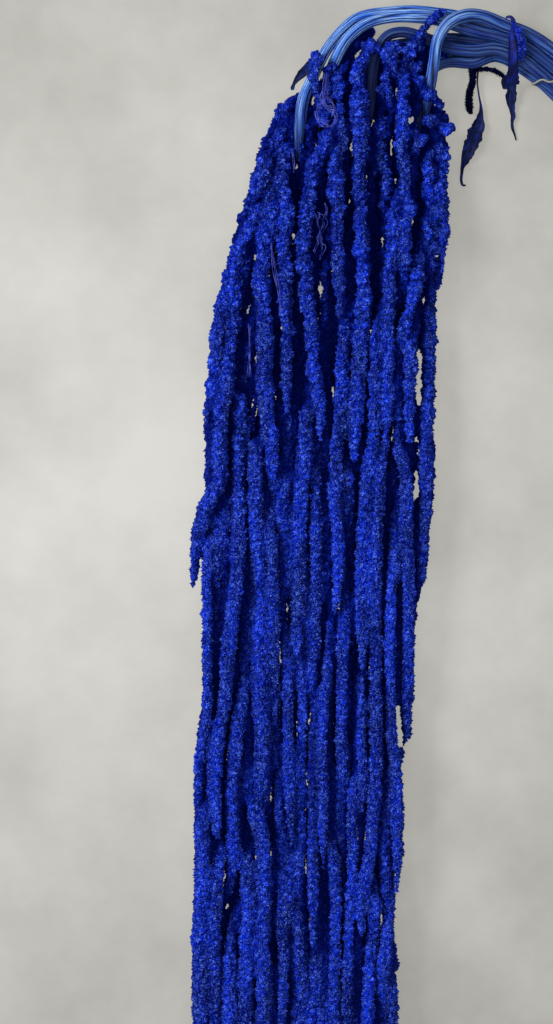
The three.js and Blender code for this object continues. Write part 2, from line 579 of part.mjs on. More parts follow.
// The dried leaves, [half width on the grid, height above the surface] at each point of the midrib.
// The hanging one and the draped one are still on their stalks; the small one juts from the arch.
const LEAF_THICKNESS = 1.3;
const LEAF_RING = 7;
const BLADE_SIDES = 4;
const LEAVES = {
  hanging: {
    midrib: [[479, 67], [478, 81], [480, 96], [482, 110], [480.5, 122], [476, 136], [468, 151], [463, 165],
      [461, 176], [464, 185]],
    shape: [[1, 4.1], [0.9, 3.9], [1.2, 3.5], [2.6, 3], [5, 3.4], [8.4, 4], [6, 3], [1.8, 1.6], [1.6, 1.2], [1, 1]],
  },
  draped: {
    midrib: [[508, 11], [511, 23], [513, 38], [514, 53], [514, 66], [513, 79], [512, 95], [513, 108], [512, 121],
      [514, 131], [517, 139]],
    shape: [[1.6, 16], [3.4, 21], [5, 22.6], [5.5, 22.4], [5.6, 19], [5, 11], [6.4, 4.5], [5, 2.4], [2.2, 1.4],
      [1.5, 1.1], [0.8, 1]],
  },
  jutting: {
    midrib: [[317, 57], [307, 68], [300, 75], [294, 82], [292, 88]],
    shape: [[3, 13], [5.4, 12], [4.2, 11], [1.6, 10], [1.4, 9]],
  },
};

function makeLeaf({ midrib, shape }, extra = 0) {
  const points = midrib.map(([across, drop], i) => place(across, drop, shape[i][1]));
  const line = smoothLine(points, LEAF_RING);
  const share = (ring) => (ring / (line.length - 1)) * (shape.length - 1);
  return sweep(lengthened(line, extra), BLADE_SIDES, (ring) => {
    const low = Math.min(Math.floor(share(ring)), shape.length - 2);
    const half = THREE.MathUtils.lerp(shape[low][0], shape[low + 1][0], share(ring) - low);
    return [half * UNIT + extra, LEAF_THICKNESS / 2 + extra];
  }, { blade: true });
}

// The small dried tassel under the bundle with the twig that it grew on, and the one lying over it.
const TWIG_WIDTH = 2.2;
const TWIG_SIDES = 4;
const TWIG_RING = 9;
const SPRIG_SIDES = 5;
const SPRIG_RING = 5;
const SPRIGS = {
  hanging: {
    twig: [[474, 66], [482, 66], [492, 66], [500, 69], [505, 74]],
    twigHeight: 5.6,
    tassel: [[474, 65], [474, 77], [471, 89], [470, 99], [472, 111]],
    width: 7,
    heights: [5.6, 5, 4.5, 4, 3.6],
  },
  draped: {
    twig: [[520, 31], [517, 26], [512, 19]],
    twigHeight: 25,
    tassel: [[519, 28], [522, 37], [523, 47], [521, 59]],
    width: 8,
    heights: [25, 25, 25, 24.5],
  },
};

function makeSprig({ twig, twigHeight, tassel, width, heights }, extra = 0) {
  const twigLine = smoothLine(twig.map(([across, drop]) => place(across, drop, twigHeight)), TWIG_RING);
  const tasselLine = smoothLine(tassel.map(([across, drop], i) => place(across, drop, heights[i])), SPRIG_RING);
  const relief = makeRelief(tasselLine, SPRIG_SIDES, width);
  const bareTwig = sweep(lengthened(twigLine, extra), TWIG_SIDES, () => TWIG_WIDTH / 2 + extra);
  const knobbly = sweep(lengthened(tasselLine, extra), SPRIG_SIDES, (ring, angle, side) => {
    const taper = ring === tasselLine.length - 1 ? END_WIDTH : relief[ring][side];
    return (width / 2) * UNIT * taper + extra;
  }, { twist: true });
  return bareTwig.add(knobbly);
}

// The string round the stems: one long slanting turn, then three close ones.
const STRING_START = 0.53; // share of the bundle's curve, counted from the cut ends
const STRING_SLANT = 34; // how far the first turn runs along the stems
const STRING_CLOSE_TURNS = 3;
const STRING_SIDES = 4;
const POINTS_PER_TURN = 14;

function stringLine() {
  const lanes = Object.values(STEMS).map(({ lane }) => new THREE.Vector2(lane[0] * STEM_PITCH, lane[1]));
  const curve = new THREE.CatmullRomCurve3(laneLine([0, 0]), false, "centripetal");
  const length = curve.getLength();
  const reach = STEM_RADIUS + STRING_ROOM + STRING_WIDTH / 2;
  const points = [];
  for (let i = 0; i <= (1 + STRING_CLOSE_TURNS) * POINTS_PER_TURN; i++) {
    const turn = i / POINTS_PER_TURN;
    const facing = new THREE.Vector2(Math.cos(2 * Math.PI * turn), Math.sin(2 * Math.PI * turn));
    const stem = lanes.reduce((best, lane) => (lane.dot(facing) > best.dot(facing) ? lane : best));
    const slant = turn < 1 ? (STRING_SLANT / 2) * (1 - Math.cos(2 * Math.PI * turn)) : 0;
    const along = (slant - turn * (STRING_WIDTH + GAP)) / length + STRING_START;
    const middle = curve.getPointAt(along);
    const forward = curve.getTangentAt(along);
    const aside = stem.x + reach * facing.x;
    const up = stem.y + reach * facing.y;
    points.push(middle.add(new THREE.Vector3(forward.y * aside, -forward.x * aside, up)));
  }
  return points;
}

function makeString(extra = 0) {
  return sweep(lengthened(stringLine(), extra), STRING_SIDES, () => STRING_WIDTH / 2 + extra);
}

function paint(color, roughness) {
  return new THREE.MeshStandardMaterial({ color, roughness, metalness: 0 });
}

const stemBlue = paint(0x3a68b4, 0.5);
const tasselBlue = paint(0x1021a8, 0.9);
const leafBlue = paint(0x1b2a78, 0.8);
const stringBeige = paint(0x8f8f80, 0.9);

const bunch = new THREE.Group();

const stemPoints = [];
for (const [name, stem] of Object.entries(STEMS)) {
  const fine = stemLine(stem, STEP);
  fine.forEach((p, i) => stemPoints.push({ p, radius: stemRadius(i / (fine.length - 1)) }));
  bunch.add(meshOf(makeStem(stem), `stem_${name}`, stemBlue));
}
const aroundStems = union(Object.values(STEMS).map((stem) => makeStem(stem, GAP)));

const strands = makeStrands();
settle(strands, stemPoints);

// Adds a piece, cut back where it would touch what is there already; wide is its own clearance.
let taken = aroundStems;
function addPiece(name, solid, wide, material) {
  const clear = solid.intersect(taken).volume() > 0 ? solid.subtract(taken) : solid;
  bunch.add(meshOf(largest(clear.trimByPlane([0, 0, 1], 0)), name, material));
  taken = taken.add(wide);
}

for (const head of Object.keys(AXES)) {
  const own = strands.filter((strand) => strand.head === head);
  const [solid, wide] = [0, GAP].map((extra) => union(own.map((strand) => makeTassel(strand, extra))));
  addPiece(`seed_head_${head}`, solid, wide, tasselBlue);
}
addPiece("string_tie", makeString(), makeString(GAP), stringBeige);
for (const [name, leaf] of Object.entries(LEAVES)) {
  addPiece(`dried_leaf_${name}`, makeLeaf(leaf), makeLeaf(leaf, GAP), leafBlue);
}
for (const [name, sprig] of Object.entries(SPRIGS)) {
  addPiece(`sprig_${name}`, makeSprig(sprig), makeSprig(sprig, GAP), tasselBlue);
}

const box = new THREE.Box3().setFromObject(bunch);
const centre = box.getCenter(new THREE.Vector3());
bunch.position.set(-centre.x, -centre.y, -box.min.z);

export default bunch;
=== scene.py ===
"""A tied bunch of hanging amaranth, preserved and dyed blue, laid on its back on a pale floor."""

import math

import bpy
import numpy as np
from mathutils import Euler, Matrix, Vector, noise


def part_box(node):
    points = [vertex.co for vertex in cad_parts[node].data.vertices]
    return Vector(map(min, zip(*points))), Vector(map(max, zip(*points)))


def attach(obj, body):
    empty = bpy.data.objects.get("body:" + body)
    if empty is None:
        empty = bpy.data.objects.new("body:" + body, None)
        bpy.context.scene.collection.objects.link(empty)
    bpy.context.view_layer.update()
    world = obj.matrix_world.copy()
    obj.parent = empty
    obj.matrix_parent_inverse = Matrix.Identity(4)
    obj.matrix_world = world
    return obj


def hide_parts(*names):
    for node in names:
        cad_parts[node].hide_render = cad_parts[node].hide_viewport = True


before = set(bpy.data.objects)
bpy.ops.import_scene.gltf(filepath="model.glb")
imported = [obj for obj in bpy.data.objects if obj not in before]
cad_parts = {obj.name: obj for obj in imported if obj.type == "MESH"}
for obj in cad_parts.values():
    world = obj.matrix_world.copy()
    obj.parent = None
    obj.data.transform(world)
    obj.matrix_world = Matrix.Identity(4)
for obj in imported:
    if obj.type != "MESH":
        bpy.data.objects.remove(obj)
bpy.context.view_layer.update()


# The six stems. Each is the stalk of an amaranth plant, thick, ribbed and fibrous, cut green, kept soft
# with glycerine and dyed blue. They lie side by side in two layers where they are tied, then fan out,
# arch over and bend down into the seed heads.
MM = 0.001
UNIT = 946 * MM / 1113  # one step of the drawing grid, on which a path's points are [across, drop]
MIDDLE = (310, 560)  # the grid's zero point
STEM_RADIUS = 4.9 * MM
STEM_PITCH = 2 * STEM_RADIUS + 0.7 * MM
LOW_LAYER = 7.5 * MM
HIGH_LAYER = LOW_LAYER + STEM_PITCH * math.sin(math.pi / 3) + 0.2 * MM
STEM_TAPER = 0.08  # how much of its radius a stem loses towards its far end
# The curve that the tied stems lie beside, from their cut ends on.
BUNDLE = [[629, 178], [613, 144], [593, 112], [571, 86], [547, 64.5], [522, 47.5], [500, 39.5]]
# lane is how many pitches a stem lies beside the bundle's curve, and its height there. heights are in
# millimetres along the path. The last pair says how brightly a stem is painted, in the bundle and beyond
# it; a low value is painted shade.
STEMS = {
    "outer": {
        "lane": (0.75, LOW_LAYER),
        "path": [[474, 21], [450, 14], [420, 10], [388, 11], [358, 17], [340, 32], [325, 52], [312, 79],
                 [303, 100], [300, 126], [298, 160]],
        "heights": [8, 7, 7.5, 7.5, 9, 11, 14, 18, 21, 21, 17],
        "painted_lights": (0.5, 0.95),
    },
    "inner": {
        "lane": (0.25, HIGH_LAYER),
        "path": [[474, 30], [450, 22], [420, 17], [390, 17.5], [365, 24], [347, 39], [336, 58], [326, 83],
                 [320, 108], [316, 138]],
        "heights": [16, 16, 17, 17, 18, 18, 16, 11, 7, 6],
        "painted_lights": (0.26, 0.92),
    },
    "rear": {
        "lane": (-0.25, LOW_LAYER),
        "path": [[474, 40], [450, 38], [428, 40], [408, 42], [390, 45], [374, 54], [362, 70], [354, 96],
                 [349, 126]],
        "heights": [8, 7, 6, 5.5, 5.5, 5.5, 7, 9, 10],
        "painted_lights": (0.2, 0.24),
    },
    "centre": {
        "lane": (-0.75, HIGH_LAYER),
        "path": [[474, 50], [450, 47], [426, 38], [404, 31.5], [388, 35], [378, 48], [373, 68], [371, 94],
                 [369, 126]],
        "heights": [16, 16, 16, 16, 16, 17, 18, 18, 16],
        "painted_lights": (0.26, 0.22),
    },
    "front": {
        "lane": (1.25, HIGH_LAYER),
        "path": [[484, 16.5], [466, 15.5], [449, 23], [438, 39], [434, 62], [430, 88], [427, 105],
                 [426, 119]],
        "heights": [19, 23, 27, 27, 24, 21, 17, 12],
        "painted_lights": (0.42, 1.0),
    },
    "lower": {
        "lane": (-1.25, LOW_LAYER),
        "path": [[474, 61], [450, 60], [434, 67], [423, 86], [419, 112], [418, 138]],
        "heights": [8, 8, 8, 10, 11, 12],
        "painted_lights": (0.36, 0.32),
    },
}
RIBS = 8
RIB_DEPTH = 0.23  # of the grooves, as a share of the radius
PRESSING = 0.2  # how much wider than its solid a stem is drawn in the bundle, to touch its neighbours
FANNING_OUT = 436  # how far across the stems part from one another
PRESSING_FADE = 15 * MM
PAINTED_LIGHT_FROM = 185 * MM  # so far along a stem its painted brightness starts to change from the bundle's to the one beyond it
PAINTED_LIGHT_OVER = 60 * MM
STEM_END = 30 * MM  # over this length a stem thins out as its seed head branches from it
STEM_AROUND = 54  # points round a stem
STEM_RING = 3.5 * MM  # from one ring of points to the next
CURVE_STEPS = 24  # fine steps of a curve from one given point to the next


def on_grid(across, drop, height):
    """The place of a grid point at a height, in metres from the grid's zero point."""
    return np.array([(across - MIDDLE[0]) * UNIT, (MIDDLE[1] - drop) * UNIT, height])


def smooth_line(points, spacing):
    """Even points on the centripetal Catmull-Rom curve through the given ones."""
    knots = [np.array(point) for point in points]
    knots = [2 * knots[0] - knots[1], *knots, 2 * knots[-1] - knots[-2]]
    fine = []
    for a, b, c, d in zip(knots, knots[1:], knots[2:], knots[3:]):
        before, between, after = (math.sqrt(np.linalg.norm(q - p)) for p, q in ((a, b), (b, c), (c, d)))
        leaving = between * ((b - a) / before - (c - a) / (before + between)) + c - b
        arriving = between * ((d - c) / after - (d - b) / (between + after)) + c - b
        for t in np.linspace(0, 1, CURVE_STEPS, endpoint=False):
            step = t * t * (3 - 2 * t)
            fine.append(b + (c - b) * step + leaving * t * (1 - t) ** 2 - arriving * t * t * (1 - t))
    fine = np.array([*fine, knots[-2]])
    travelled = np.concatenate([[0], np.cumsum(np.linalg.norm(np.diff(fine, axis=0), axis=1))])
    even = np.linspace(0, travelled[-1], max(2, round(travelled[-1] / spacing)) + 1)
    return np.stack([np.interp(even, travelled, fine[:, axis]) for axis in range(fine.shape[1])], axis=1)


def unit(vectors):
    """The vectors' directions, each one long."""
    return vectors / np.linalg.norm(vectors, axis=-1, keepdims=True)


def lane_line(pitches, height):
    """A stem's points where it is tied, beside the bundle's curve."""
    middle = np.array([on_grid(across, drop, height) for across, drop in BUNDLE])
    last = len(middle) - 1
    along = unit(np.array([middle[min(i + 1, last)] - middle[max(i - 1, 0)] for i in range(last + 1)]))
    aside = np.stack([along[:, 1], -along[:, 0], np.zeros(len(along))], axis=1)
    return middle + aside * pitches * STEM_PITCH


def stem_line(stem, spacing):
    """A stem's middle line, from its cut end to inside its seed head."""
    own = [on_grid(across, drop, high * MM) for (across, drop), high in zip(stem["path"], stem["heights"])]
    return smooth_line([*lane_line(*stem["lane"]), *own], spacing)


def carried_frame(line):
    """Two directions square to a line and to each other, carried along it without twisting."""
    tangents = unit(np.gradient(line, axis=0))
    side = np.cross(tangents[0], [0, 0, 1] if abs(tangents[0][2]) < 0.9 else [1, 0, 0])
    sides = []
    for tangent in tangents:
        side = unit(side - tangent * side.dot(tangent))
        sides.append(side)
    sides = np.array(sides)
    return sides, np.cross(sides, tangents)


def closed_rings(rings):
    """The points and faces of a closed body that runs through rings of points."""
    number, around = rings.shape[:2]
    points = np.concatenate([rings.reshape(-1, 3), rings[:1].mean(axis=1), rings[-1:].mean(axis=1)])
    ring, place = np.meshgrid(np.arange(number - 1) * around, np.arange(around), indexing="ij")
    after = (place + 1) % around
    quads = np.stack([ring + place, ring + after, ring + around + after, ring + around + place], axis=-1)
    first, last, base = number * around, number * around + 1, (number - 1) * around
    caps = [[(i + 1) % around, i, first] for i in range(around)]
    caps += [[base + i, base + (i + 1) % around, last] for i in range(around)]
    return points, quads.reshape(-1, 4).tolist() + caps


def tube(line, radii):
    """A closed tube: radii gives each ring's distances from the line, all round."""
    sides, ups = carried_frame(line)
    angles = np.linspace(0, 2 * math.pi, radii.shape[1], endpoint=False)[None, :, None]
    out = sides[:, None] * np.cos(angles) + ups[:, None] * np.sin(angles)
    return closed_rings(line[:, None] + radii[..., None] * out)


def make_piece(name, points, faces, marks, material, nodes=(), smooth=True):
    """Makes a piece, which stands for the CAD nodes named. marks are what its material reads."""
    # What would dip under the floor lies flat on it.
    points[:, 2] = np.maximum(points[:, 2], 0)
    mesh = bpy.data.meshes.new(name)
    mesh.from_pydata(points.tolist(), [], faces)
    mesh.polygons.foreach_set("use_smooth", [smooth] * len(mesh.polygons))
    for mark, values in marks.items():
        kind, field = ("FLOAT", "value") if values.ndim == 1 else ("FLOAT_VECTOR", "vector")
        mesh.attributes.new(mark, kind, "POINT").data.foreach_set(field, values.astype(np.float32).ravel())
    mesh.materials.append(material)
    piece = bpy.data.objects.new(name, mesh)
    bpy.context.collection.objects.link(piece)
    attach(piece, "root")
    if nodes:
        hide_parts(*nodes)


def linear(code):
    """An sRGB hex colour as linear red, green, blue and alpha."""
    levels = [int(code[i : i + 2], 16) / 255 for i in (1, 3, 5)]
    return [v / 12.92 if v <= 0.04045 else ((v + 0.055) / 1.055) ** 2.4 for v in levels] + [1]


def new_material(name):
    """An empty material, and its node tree."""
    material = bpy.data.materials.new(name)
    material.use_nodes = True
    material.node_tree.nodes.clear()
    return material, material.node_tree


def add_node(tree, kind, values=None, links=None, **settings):
    """Adds a node with its settings, the values of its sockets, and the sockets that it is fed from."""
    made = tree.nodes.new(kind)
    for name, setting in settings.items():
        setattr(made, name, setting)
    for socket, value in (values or {}).items():
        made.inputs[socket].default_value = linear(value) if isinstance(value, str) else value
    for socket, source in (links or {}).items():
        tree.links.new(source, made.inputs[socket])
    return made


# The sockets of a Mix node that blends colours: what blends, the two colours, and the blend.
FACTOR, FIRST, SECOND, MIXED = 0, 6, 7, 2


def dyed_stalk():
    """Preserved plant stalk, soaked in dye: waxy, satin ribs with painted highlights on them, and grooves
    painted dark with painted shade.
    """
    material, tree = new_material("glycerine_preserved_stalk_dyed_blue")
    grain = add_node(tree, "ShaderNodeAttribute", attribute_name="grain").outputs["Vector"]
    ridge = add_node(tree, "ShaderNodeAttribute", attribute_name="ridge").outputs["Fac"]
    painted_light = add_node(tree, "ShaderNodeAttribute", attribute_name="painted_light").outputs["Fac"]
    # Fibres are 0.9 mm wide, drawn coarser than life so that they show, and run on for about 34 mm.
    fibre_place = add_node(
        tree, "ShaderNodeVectorMath", {1: (1 / (0.9 * MM), 1 / (34 * MM), 1)}, {0: grain},
        operation="MULTIPLY",
    ).outputs[0]
    fibre = add_node(
        tree, "ShaderNodeTexNoise", {"Scale": 1.0, "Detail": 3.0, "Roughness": 0.6}, {"Vector": fibre_place}
    ).outputs["Fac"]
    # Patches where the dye took badly are 5 mm wide and 60 mm long.
    patch_place = add_node(
        tree, "ShaderNodeVectorMath", {1: (1 / (5 * MM), 1 / (60 * MM), 1)}, {0: grain},
        operation="MULTIPLY",
    ).outputs[0]
    patch = add_node(
        tree, "ShaderNodeTexNoise", {"Scale": 1.0, "Detail": 2.0}, {"Vector": patch_place}
    ).outputs["Fac"]
    streak = add_node(
        tree, "ShaderNodeMapRange", {"From Min": 0.42, "From Max": 0.6}, {"Value": fibre}
    ).outputs[0]
    worn = add_node(
        tree, "ShaderNodeMapRange", {"From Min": 0.4, "From Max": 0.56}, {"Value": patch}
    ).outputs[0]
    crest = add_node(
        tree, "ShaderNodeMapRange", {"From Min": 0.38, "From Max": 0.92}, {"Value": ridge}
    ).outputs[0]
    # The grooves are painted near black, a painted shade; the crests are dyed blue.
    dyed = add_node(
        tree, "ShaderNodeMix", {FIRST: "#020926", SECOND: "#1750cc"}, {FACTOR: crest}, data_type="RGBA"
    ).outputs[MIXED]
    # Fibre streaks on the crests are painted brighter: partly the fibres' own colour, partly a painted
    # highlight.
    lit_rib = add_node(tree, "ShaderNodeMath", links={0: streak, 1: crest}, operation="MULTIPLY").outputs[0]
    dyed = add_node(
        tree, "ShaderNodeMix", {SECOND: "#4892f2"}, {FACTOR: lit_rib, FIRST: dyed}, data_type="RGBA"
    ).outputs[MIXED]
    # On the crests, in patches where the dye took badly, a near-white painted highlight, which fades where
    # the stalk is painted in shade.
    worn_and_painted_highlight = add_node(tree, "ShaderNodeMath", links={0: worn, 1: lit_rib}, operation="MULTIPLY").outputs[0]
    worn_and_painted_highlight = add_node(tree, "ShaderNodeMath", links={0: worn_and_painted_highlight, 1: painted_light}, operation="MULTIPLY").outputs[0]
    dyed = add_node(
        tree, "ShaderNodeMix", {SECOND: "#b4dcfa"}, {FACTOR: worn_and_painted_highlight, FIRST: dyed}, data_type="RGBA"
    ).outputs[MIXED]
    # Where a stem lies in shade it is painted a dull navy: painted shade, in the bundle and where it goes
    # into its seed head.
    colour = add_node(
        tree, "ShaderNodeMix", {FIRST: "#070b46"}, {FACTOR: painted_light, SECOND: dyed}, data_type="RGBA"
    ).outputs[MIXED]
    height = add_node(tree, "ShaderNodeMath", links={0: fibre, 1: streak}, operation="ADD").outputs[0]
    bump = add_node(
        tree, "ShaderNodeBump", {"Strength": 0.6, "Distance": 0.35 * MM}, {"Height": height}
    ).outputs[0]
    rough = add_node(
        tree, "ShaderNodeMapRange", {"To Min": 0.34, "To Max": 0.6}, {"Value": fibre}
    ).outputs[0]
    surface = add_node(
        tree, "ShaderNodeBsdfPrincipled", {"IOR": 1.45, "Specular IOR Level": 0.3},
        {"Base Color": colour, "Roughness": rough, "Normal": bump},
    )
    add_node(tree, "ShaderNodeOutputMaterial", links={"Surface": surface.outputs[0]})
    return material


def ribbed_radii(line, seed):
    """Radii of a stalk, and how high on a rib each point is, from 0 in a groove to 1 on a crest."""
    travelled = np.linspace(0, 1, len(line))[:, None]
    angles = np.linspace(0, 2 * math.pi, STEM_AROUND, endpoint=False)[None, :]
    # The ribs drift round the stalk as they run, are of uneven width and have finer ones between them.
    drift = 0.5 * np.sin(3.1 * travelled + seed) + 0.3 * np.sin(9 * travelled + 2 * seed)
    uneven = angles + drift + 0.22 * np.sin(2 * angles + seed)
    uneven = uneven + 0.12 * np.sin(3 * angles + 5 * travelled + seed)
    ridge = np.abs(np.sin(RIBS * uneven / 2)) ** 0.6
    fine = np.abs(np.sin(RIBS * 1.5 * uneven + 2 * seed)) ** 0.8
    swell = 1 + 0.035 * np.sin(23 * travelled + seed) + 0.02 * np.sin(57 * travelled + 3 * seed)
    crest = 0.78 * ridge + 0.22 * fine
    going_in = np.clip((1 - travelled) * len(line) * STEM_RING / STEM_END, 0, 1)
    past_fan = line[:, :1] - on_grid(FANNING_OUT, 0, 0)[0] - shift[0]
    pressed = 1 + PRESSING * np.clip(past_fan / PRESSING_FADE, 0, 1)
    radius = STEM_RADIUS * (1.05 - STEM_TAPER * travelled) * pressed * swell * (0.35 + 0.65 * going_in**0.5)
    return radius * (1 - RIB_DEPTH * (1 - crest)), crest


# Where the grid's zero point lies in the frame, from where the frame holds the outer stem.
outer_points = stem_line(STEMS["outer"], STEM_RING)
frame_low, frame_high = (np.array(corner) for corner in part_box("stem_outer"))
shift = (frame_low + frame_high) / 2 - (outer_points.min(axis=0) + outer_points.max(axis=0)) / 2
shift[2] = 0

stalk = dyed_stalk()
stem_surfaces = []
for number, (name, stem) in enumerate(STEMS.items()):
    line = stem_line(stem, STEM_RING) + shift
    radii, crest = ribbed_radii(line, 1.7 * number)
    points, faces = tube(line, radii)
    stem_surfaces.append(points)
    travelled = np.arange(len(line))[:, None] * STEM_RING * np.ones((1, STEM_AROUND))
    angles = np.linspace(0, 2 * math.pi, STEM_AROUND, endpoint=False)[None, :] * np.ones((len(line), 1))
    around = np.abs(angles - math.pi) * STEM_RADIUS
    grain = np.stack([around, travelled, number * np.ones_like(angles)], axis=-1)
    beyond = np.clip((travelled - PAINTED_LIGHT_FROM) / PAINTED_LIGHT_OVER, 0, 1)
    tied_painted_light, arched_painted_light = stem["painted_lights"]
    painted_light = tied_painted_light + (arched_painted_light - tied_painted_light) * beyond
    # Where it goes into its seed head, a stem lies in shade, which is painted into its colour.
    painted_light = painted_light * np.clip((travelled[-1:] - travelled) / (2 * STEM_END), 0.2, 1)
    ends = np.array([0, len(line) - 1])
    marks = {
        "ridge": np.concatenate([crest.ravel(), [0.5, 0.5]]),
        "painted_light": np.concatenate([painted_light.ravel(), painted_light[ends, 0]]),
        "grain": np.concatenate([grain.reshape(-1, 3), grain[ends, 0]]),
    }
    make_piece(f"ribbed_stalk_{name}", points, faces, marks, stalk, [f"stem_{name}"])


# The seed heads. On the plant each is a drooping spike of thousands of tiny papery florets, packed in
# clumps round long soft tassels that branch from the stem's end, so up close the surface is all grains
# that catch the light one by one.
FLORET = 2.1 * MM  # spacing of the grains, drawn a little coarser than life so that they show
ROUNDING = 7  # rounds that soften the frame's straight edges into round tassels
SHRINKAGE = 0.8 * MM  # what the rounding takes off a tassel, which is put back
CLUMP = 5.5 * MM  # from one clump of florets to the next
CLUMP_HEIGHT = 2.2 * MM
UPPER_CLUMPS = 0.7  # how much more the clumps stand out near the crown, as a share
SWELLING = 12 * MM  # the length over which a tassel grows thicker and thinner
SWELLS = (0.6, 1.6)  # how strongly: everywhere, and how much more near the crown
UNEVEN = (560, 200)  # from the first drop up to the second, the bunch grows more uneven, and inside it is painted darker, a painted shade
GRAIN_HEIGHTS = (0.3 * MM, 1.5 * MM)  # the least and the greatest
SCATTER = 0.36  # how far a grain strays from its even place, as a share of the spacing
# Maps of the bunch, seen from above, hold how high its front and its back lie in each cell.
SIGHT = 1.5 * MM  # width of a cell
MAP_CELLS = 960  # cells along a map's side
MAP_SKIN = 1.2 * MM  # spacing of the points that gaps are looked for with
HIDING = 4  # how many cells away a tassel still shades its neighbours
ABOVE_ALL = 60 * MM  # higher than anything in the bunch
OPEN_DEPTH = (6.5 * MM, 4.2 * MM)  # how deep light reaches: in the lower part, and near the crown
OUTER_SKIN = 1.5 * MM  # down to this depth a floret is in full light
SHADED = 0.36  # with less light than this, a floret is drawn plain

# Thin tassels behind close most of the gaps. At each drop the bunch reaches from left to right: [drop,
# left, right]. In the openings the floor is seen through it: [left, top, right, bottom].
REACH = [[44, 350, 432], [60, 338, 432], [76, 329, 430], [92, 306, 430], [104, 290, 431],
         [120, 277, 446], [150, 264, 445], [203, 250, 446], [270, 229, 442], [292, 225, 434],
         [350, 215, 433], [460, 211, 430], [540, 200, 425], [600, 208, 418], [616, 208, 411],
         [745, 201, 408], [760, 200, 400], [930, 198, 397], [1075, 199, 394]]
OPENINGS = [[414, 340, 423, 505], [432, 205, 438, 262], [365, 103, 384, 134], [291, 283, 298, 330],
            [218, 455, 222, 520], [391, 580, 407, 752], [312, 953, 318, 988], [391, 860, 399, 964],
            [328, 44, 341, 70], [349, 33, 354, 47], [394, 82, 399, 90], [407, 110, 413, 142]]
# The first kind of short strand lies behind everything, the second half way up in the bunch's lower part:
# below what height a place counts as empty, from which drop on, the strand's radius and height, how many
# cells apart strands keep, and how long a gap has to be.
CLOSING = [
    {"empty": 0, "from": 44, "radius": 3.1 * MM, "height": 7 * MM, "apart": 1, "shortest": 0},
    {"empty": 16 * MM, "from": 410, "radius": 4.3 * MM, "height": 16 * MM, "apart": 4, "shortest": 40 * MM},
]
OVERLAP = 7 * MM  # how far a short strand runs on past its gap, at each end
WANDERING = 25 * MM  # the length over which it sways and rises
STRAND_STEP = 5 * MM
NEAREST = (-1, 1, -2, 2, -3, 3, -4, 4, -5, 5)  # cells beside a gap, in which its seed head is looked for
# Narrow slits beside two lone tassels on the right, [across, drop], whose sides are moved apart.
SLITS = [
    [[398.5, 572], [398.5, 640], [398, 700], [400.5, 750]],
    [[434, 200], [435.5, 232], [437.5, 262], [437.5, 292]],
]
PARTING = 1.8 * MM
PARTING_REACH = 4 * MM
PARTING_FADE = 9 * MM
TUFT_STEP = 2 * MM
TUFT_AROUND = 8  # points round a clump's strand
STRAND_AROUND = 6
# Clumps round the crown that grow over the stems: the width in grid steps, then [across, drop, height].
CROWN_TUFTS = {
    "outer": [[9, [[318, 50, 26], [315, 62, 27], [313, 74, 28], [314, 88, 28], [317, 98, 26]]],
              [9, [[306, 92, 12], [296, 98, 12], [288, 106, 11]]],
              [8, [[300, 140, 24], [302, 152, 25], [300, 166, 24]]]],
    "inner": [[11, [[330, 92, 20], [326, 104, 24], [324, 116, 24], [327, 124, 22]]],
              [10, [[352, 44, 9], [345, 56, 11], [340, 68, 12], [337, 82, 12]]],
              [10, [[335, 63, 23], [329, 72, 23], [326, 84, 22], [325, 94, 22]]]],
    "rear": [[11, [[349, 62, 20], [343, 70, 22], [337, 80, 22], [334, 96, 20]]],
             [11, [[374, 28, 9], [366, 32, 10], [359, 40, 11], [355, 48, 12]]]],
    "centre": [[12, [[384, 50, 22], [392, 60, 22], [399, 74, 21], [402, 90, 20]]],
               [11, [[376, 88, 24], [386, 94, 23], [393, 104, 22], [396, 118, 20]]],
               [10, [[386, 52, 22], [394, 46, 23], [404, 50, 22]]]],
    "front": [[10, [[433, 18, 27], [427, 25, 27], [422, 34, 27], [418, 44, 26]]],
              [4, [[449, 15, 26], [443, 11, 26], [436, 10, 26]]],
              [12, [[426, 40, 20], [414, 46, 22], [404, 54, 22]]],
              [10, [[418, 76, 25], [421, 86, 29], [428, 95, 32], [436, 101, 30], [443, 109, 26]]],
              [11, [[424, 60, 18], [416, 68, 20], [412, 82, 20]]]],
    "lower": [[11, [[422, 122, 26], [431, 120, 27], [440, 124, 26], [446, 134, 24]]],
              [8, [[442, 128, 22], [449, 128, 24], [453, 127, 24]]],
              [10, [[426, 134, 24], [418, 142, 24], [410, 140, 22]]],
              [12, [[434, 46, 5], [440, 52, 6], [447, 54, 6], [455, 54, 5]]]],
}


def loose_strand(path, width):
    """A tapering closed tube for a tassel, from its points on the grid and their heights."""
    line = smooth_line([on_grid(across, drop, high * MM) for across, drop, high in path], TUFT_STEP) + shift
    share = np.linspace(0, 1, len(line))[:, None]
    radius = width / 2 * UNIT * np.sqrt(np.clip(1.08 - (2 * share - 1) ** 4, 0.1, 1))
    return tube(line, radius * np.ones((1, TUFT_AROUND)))


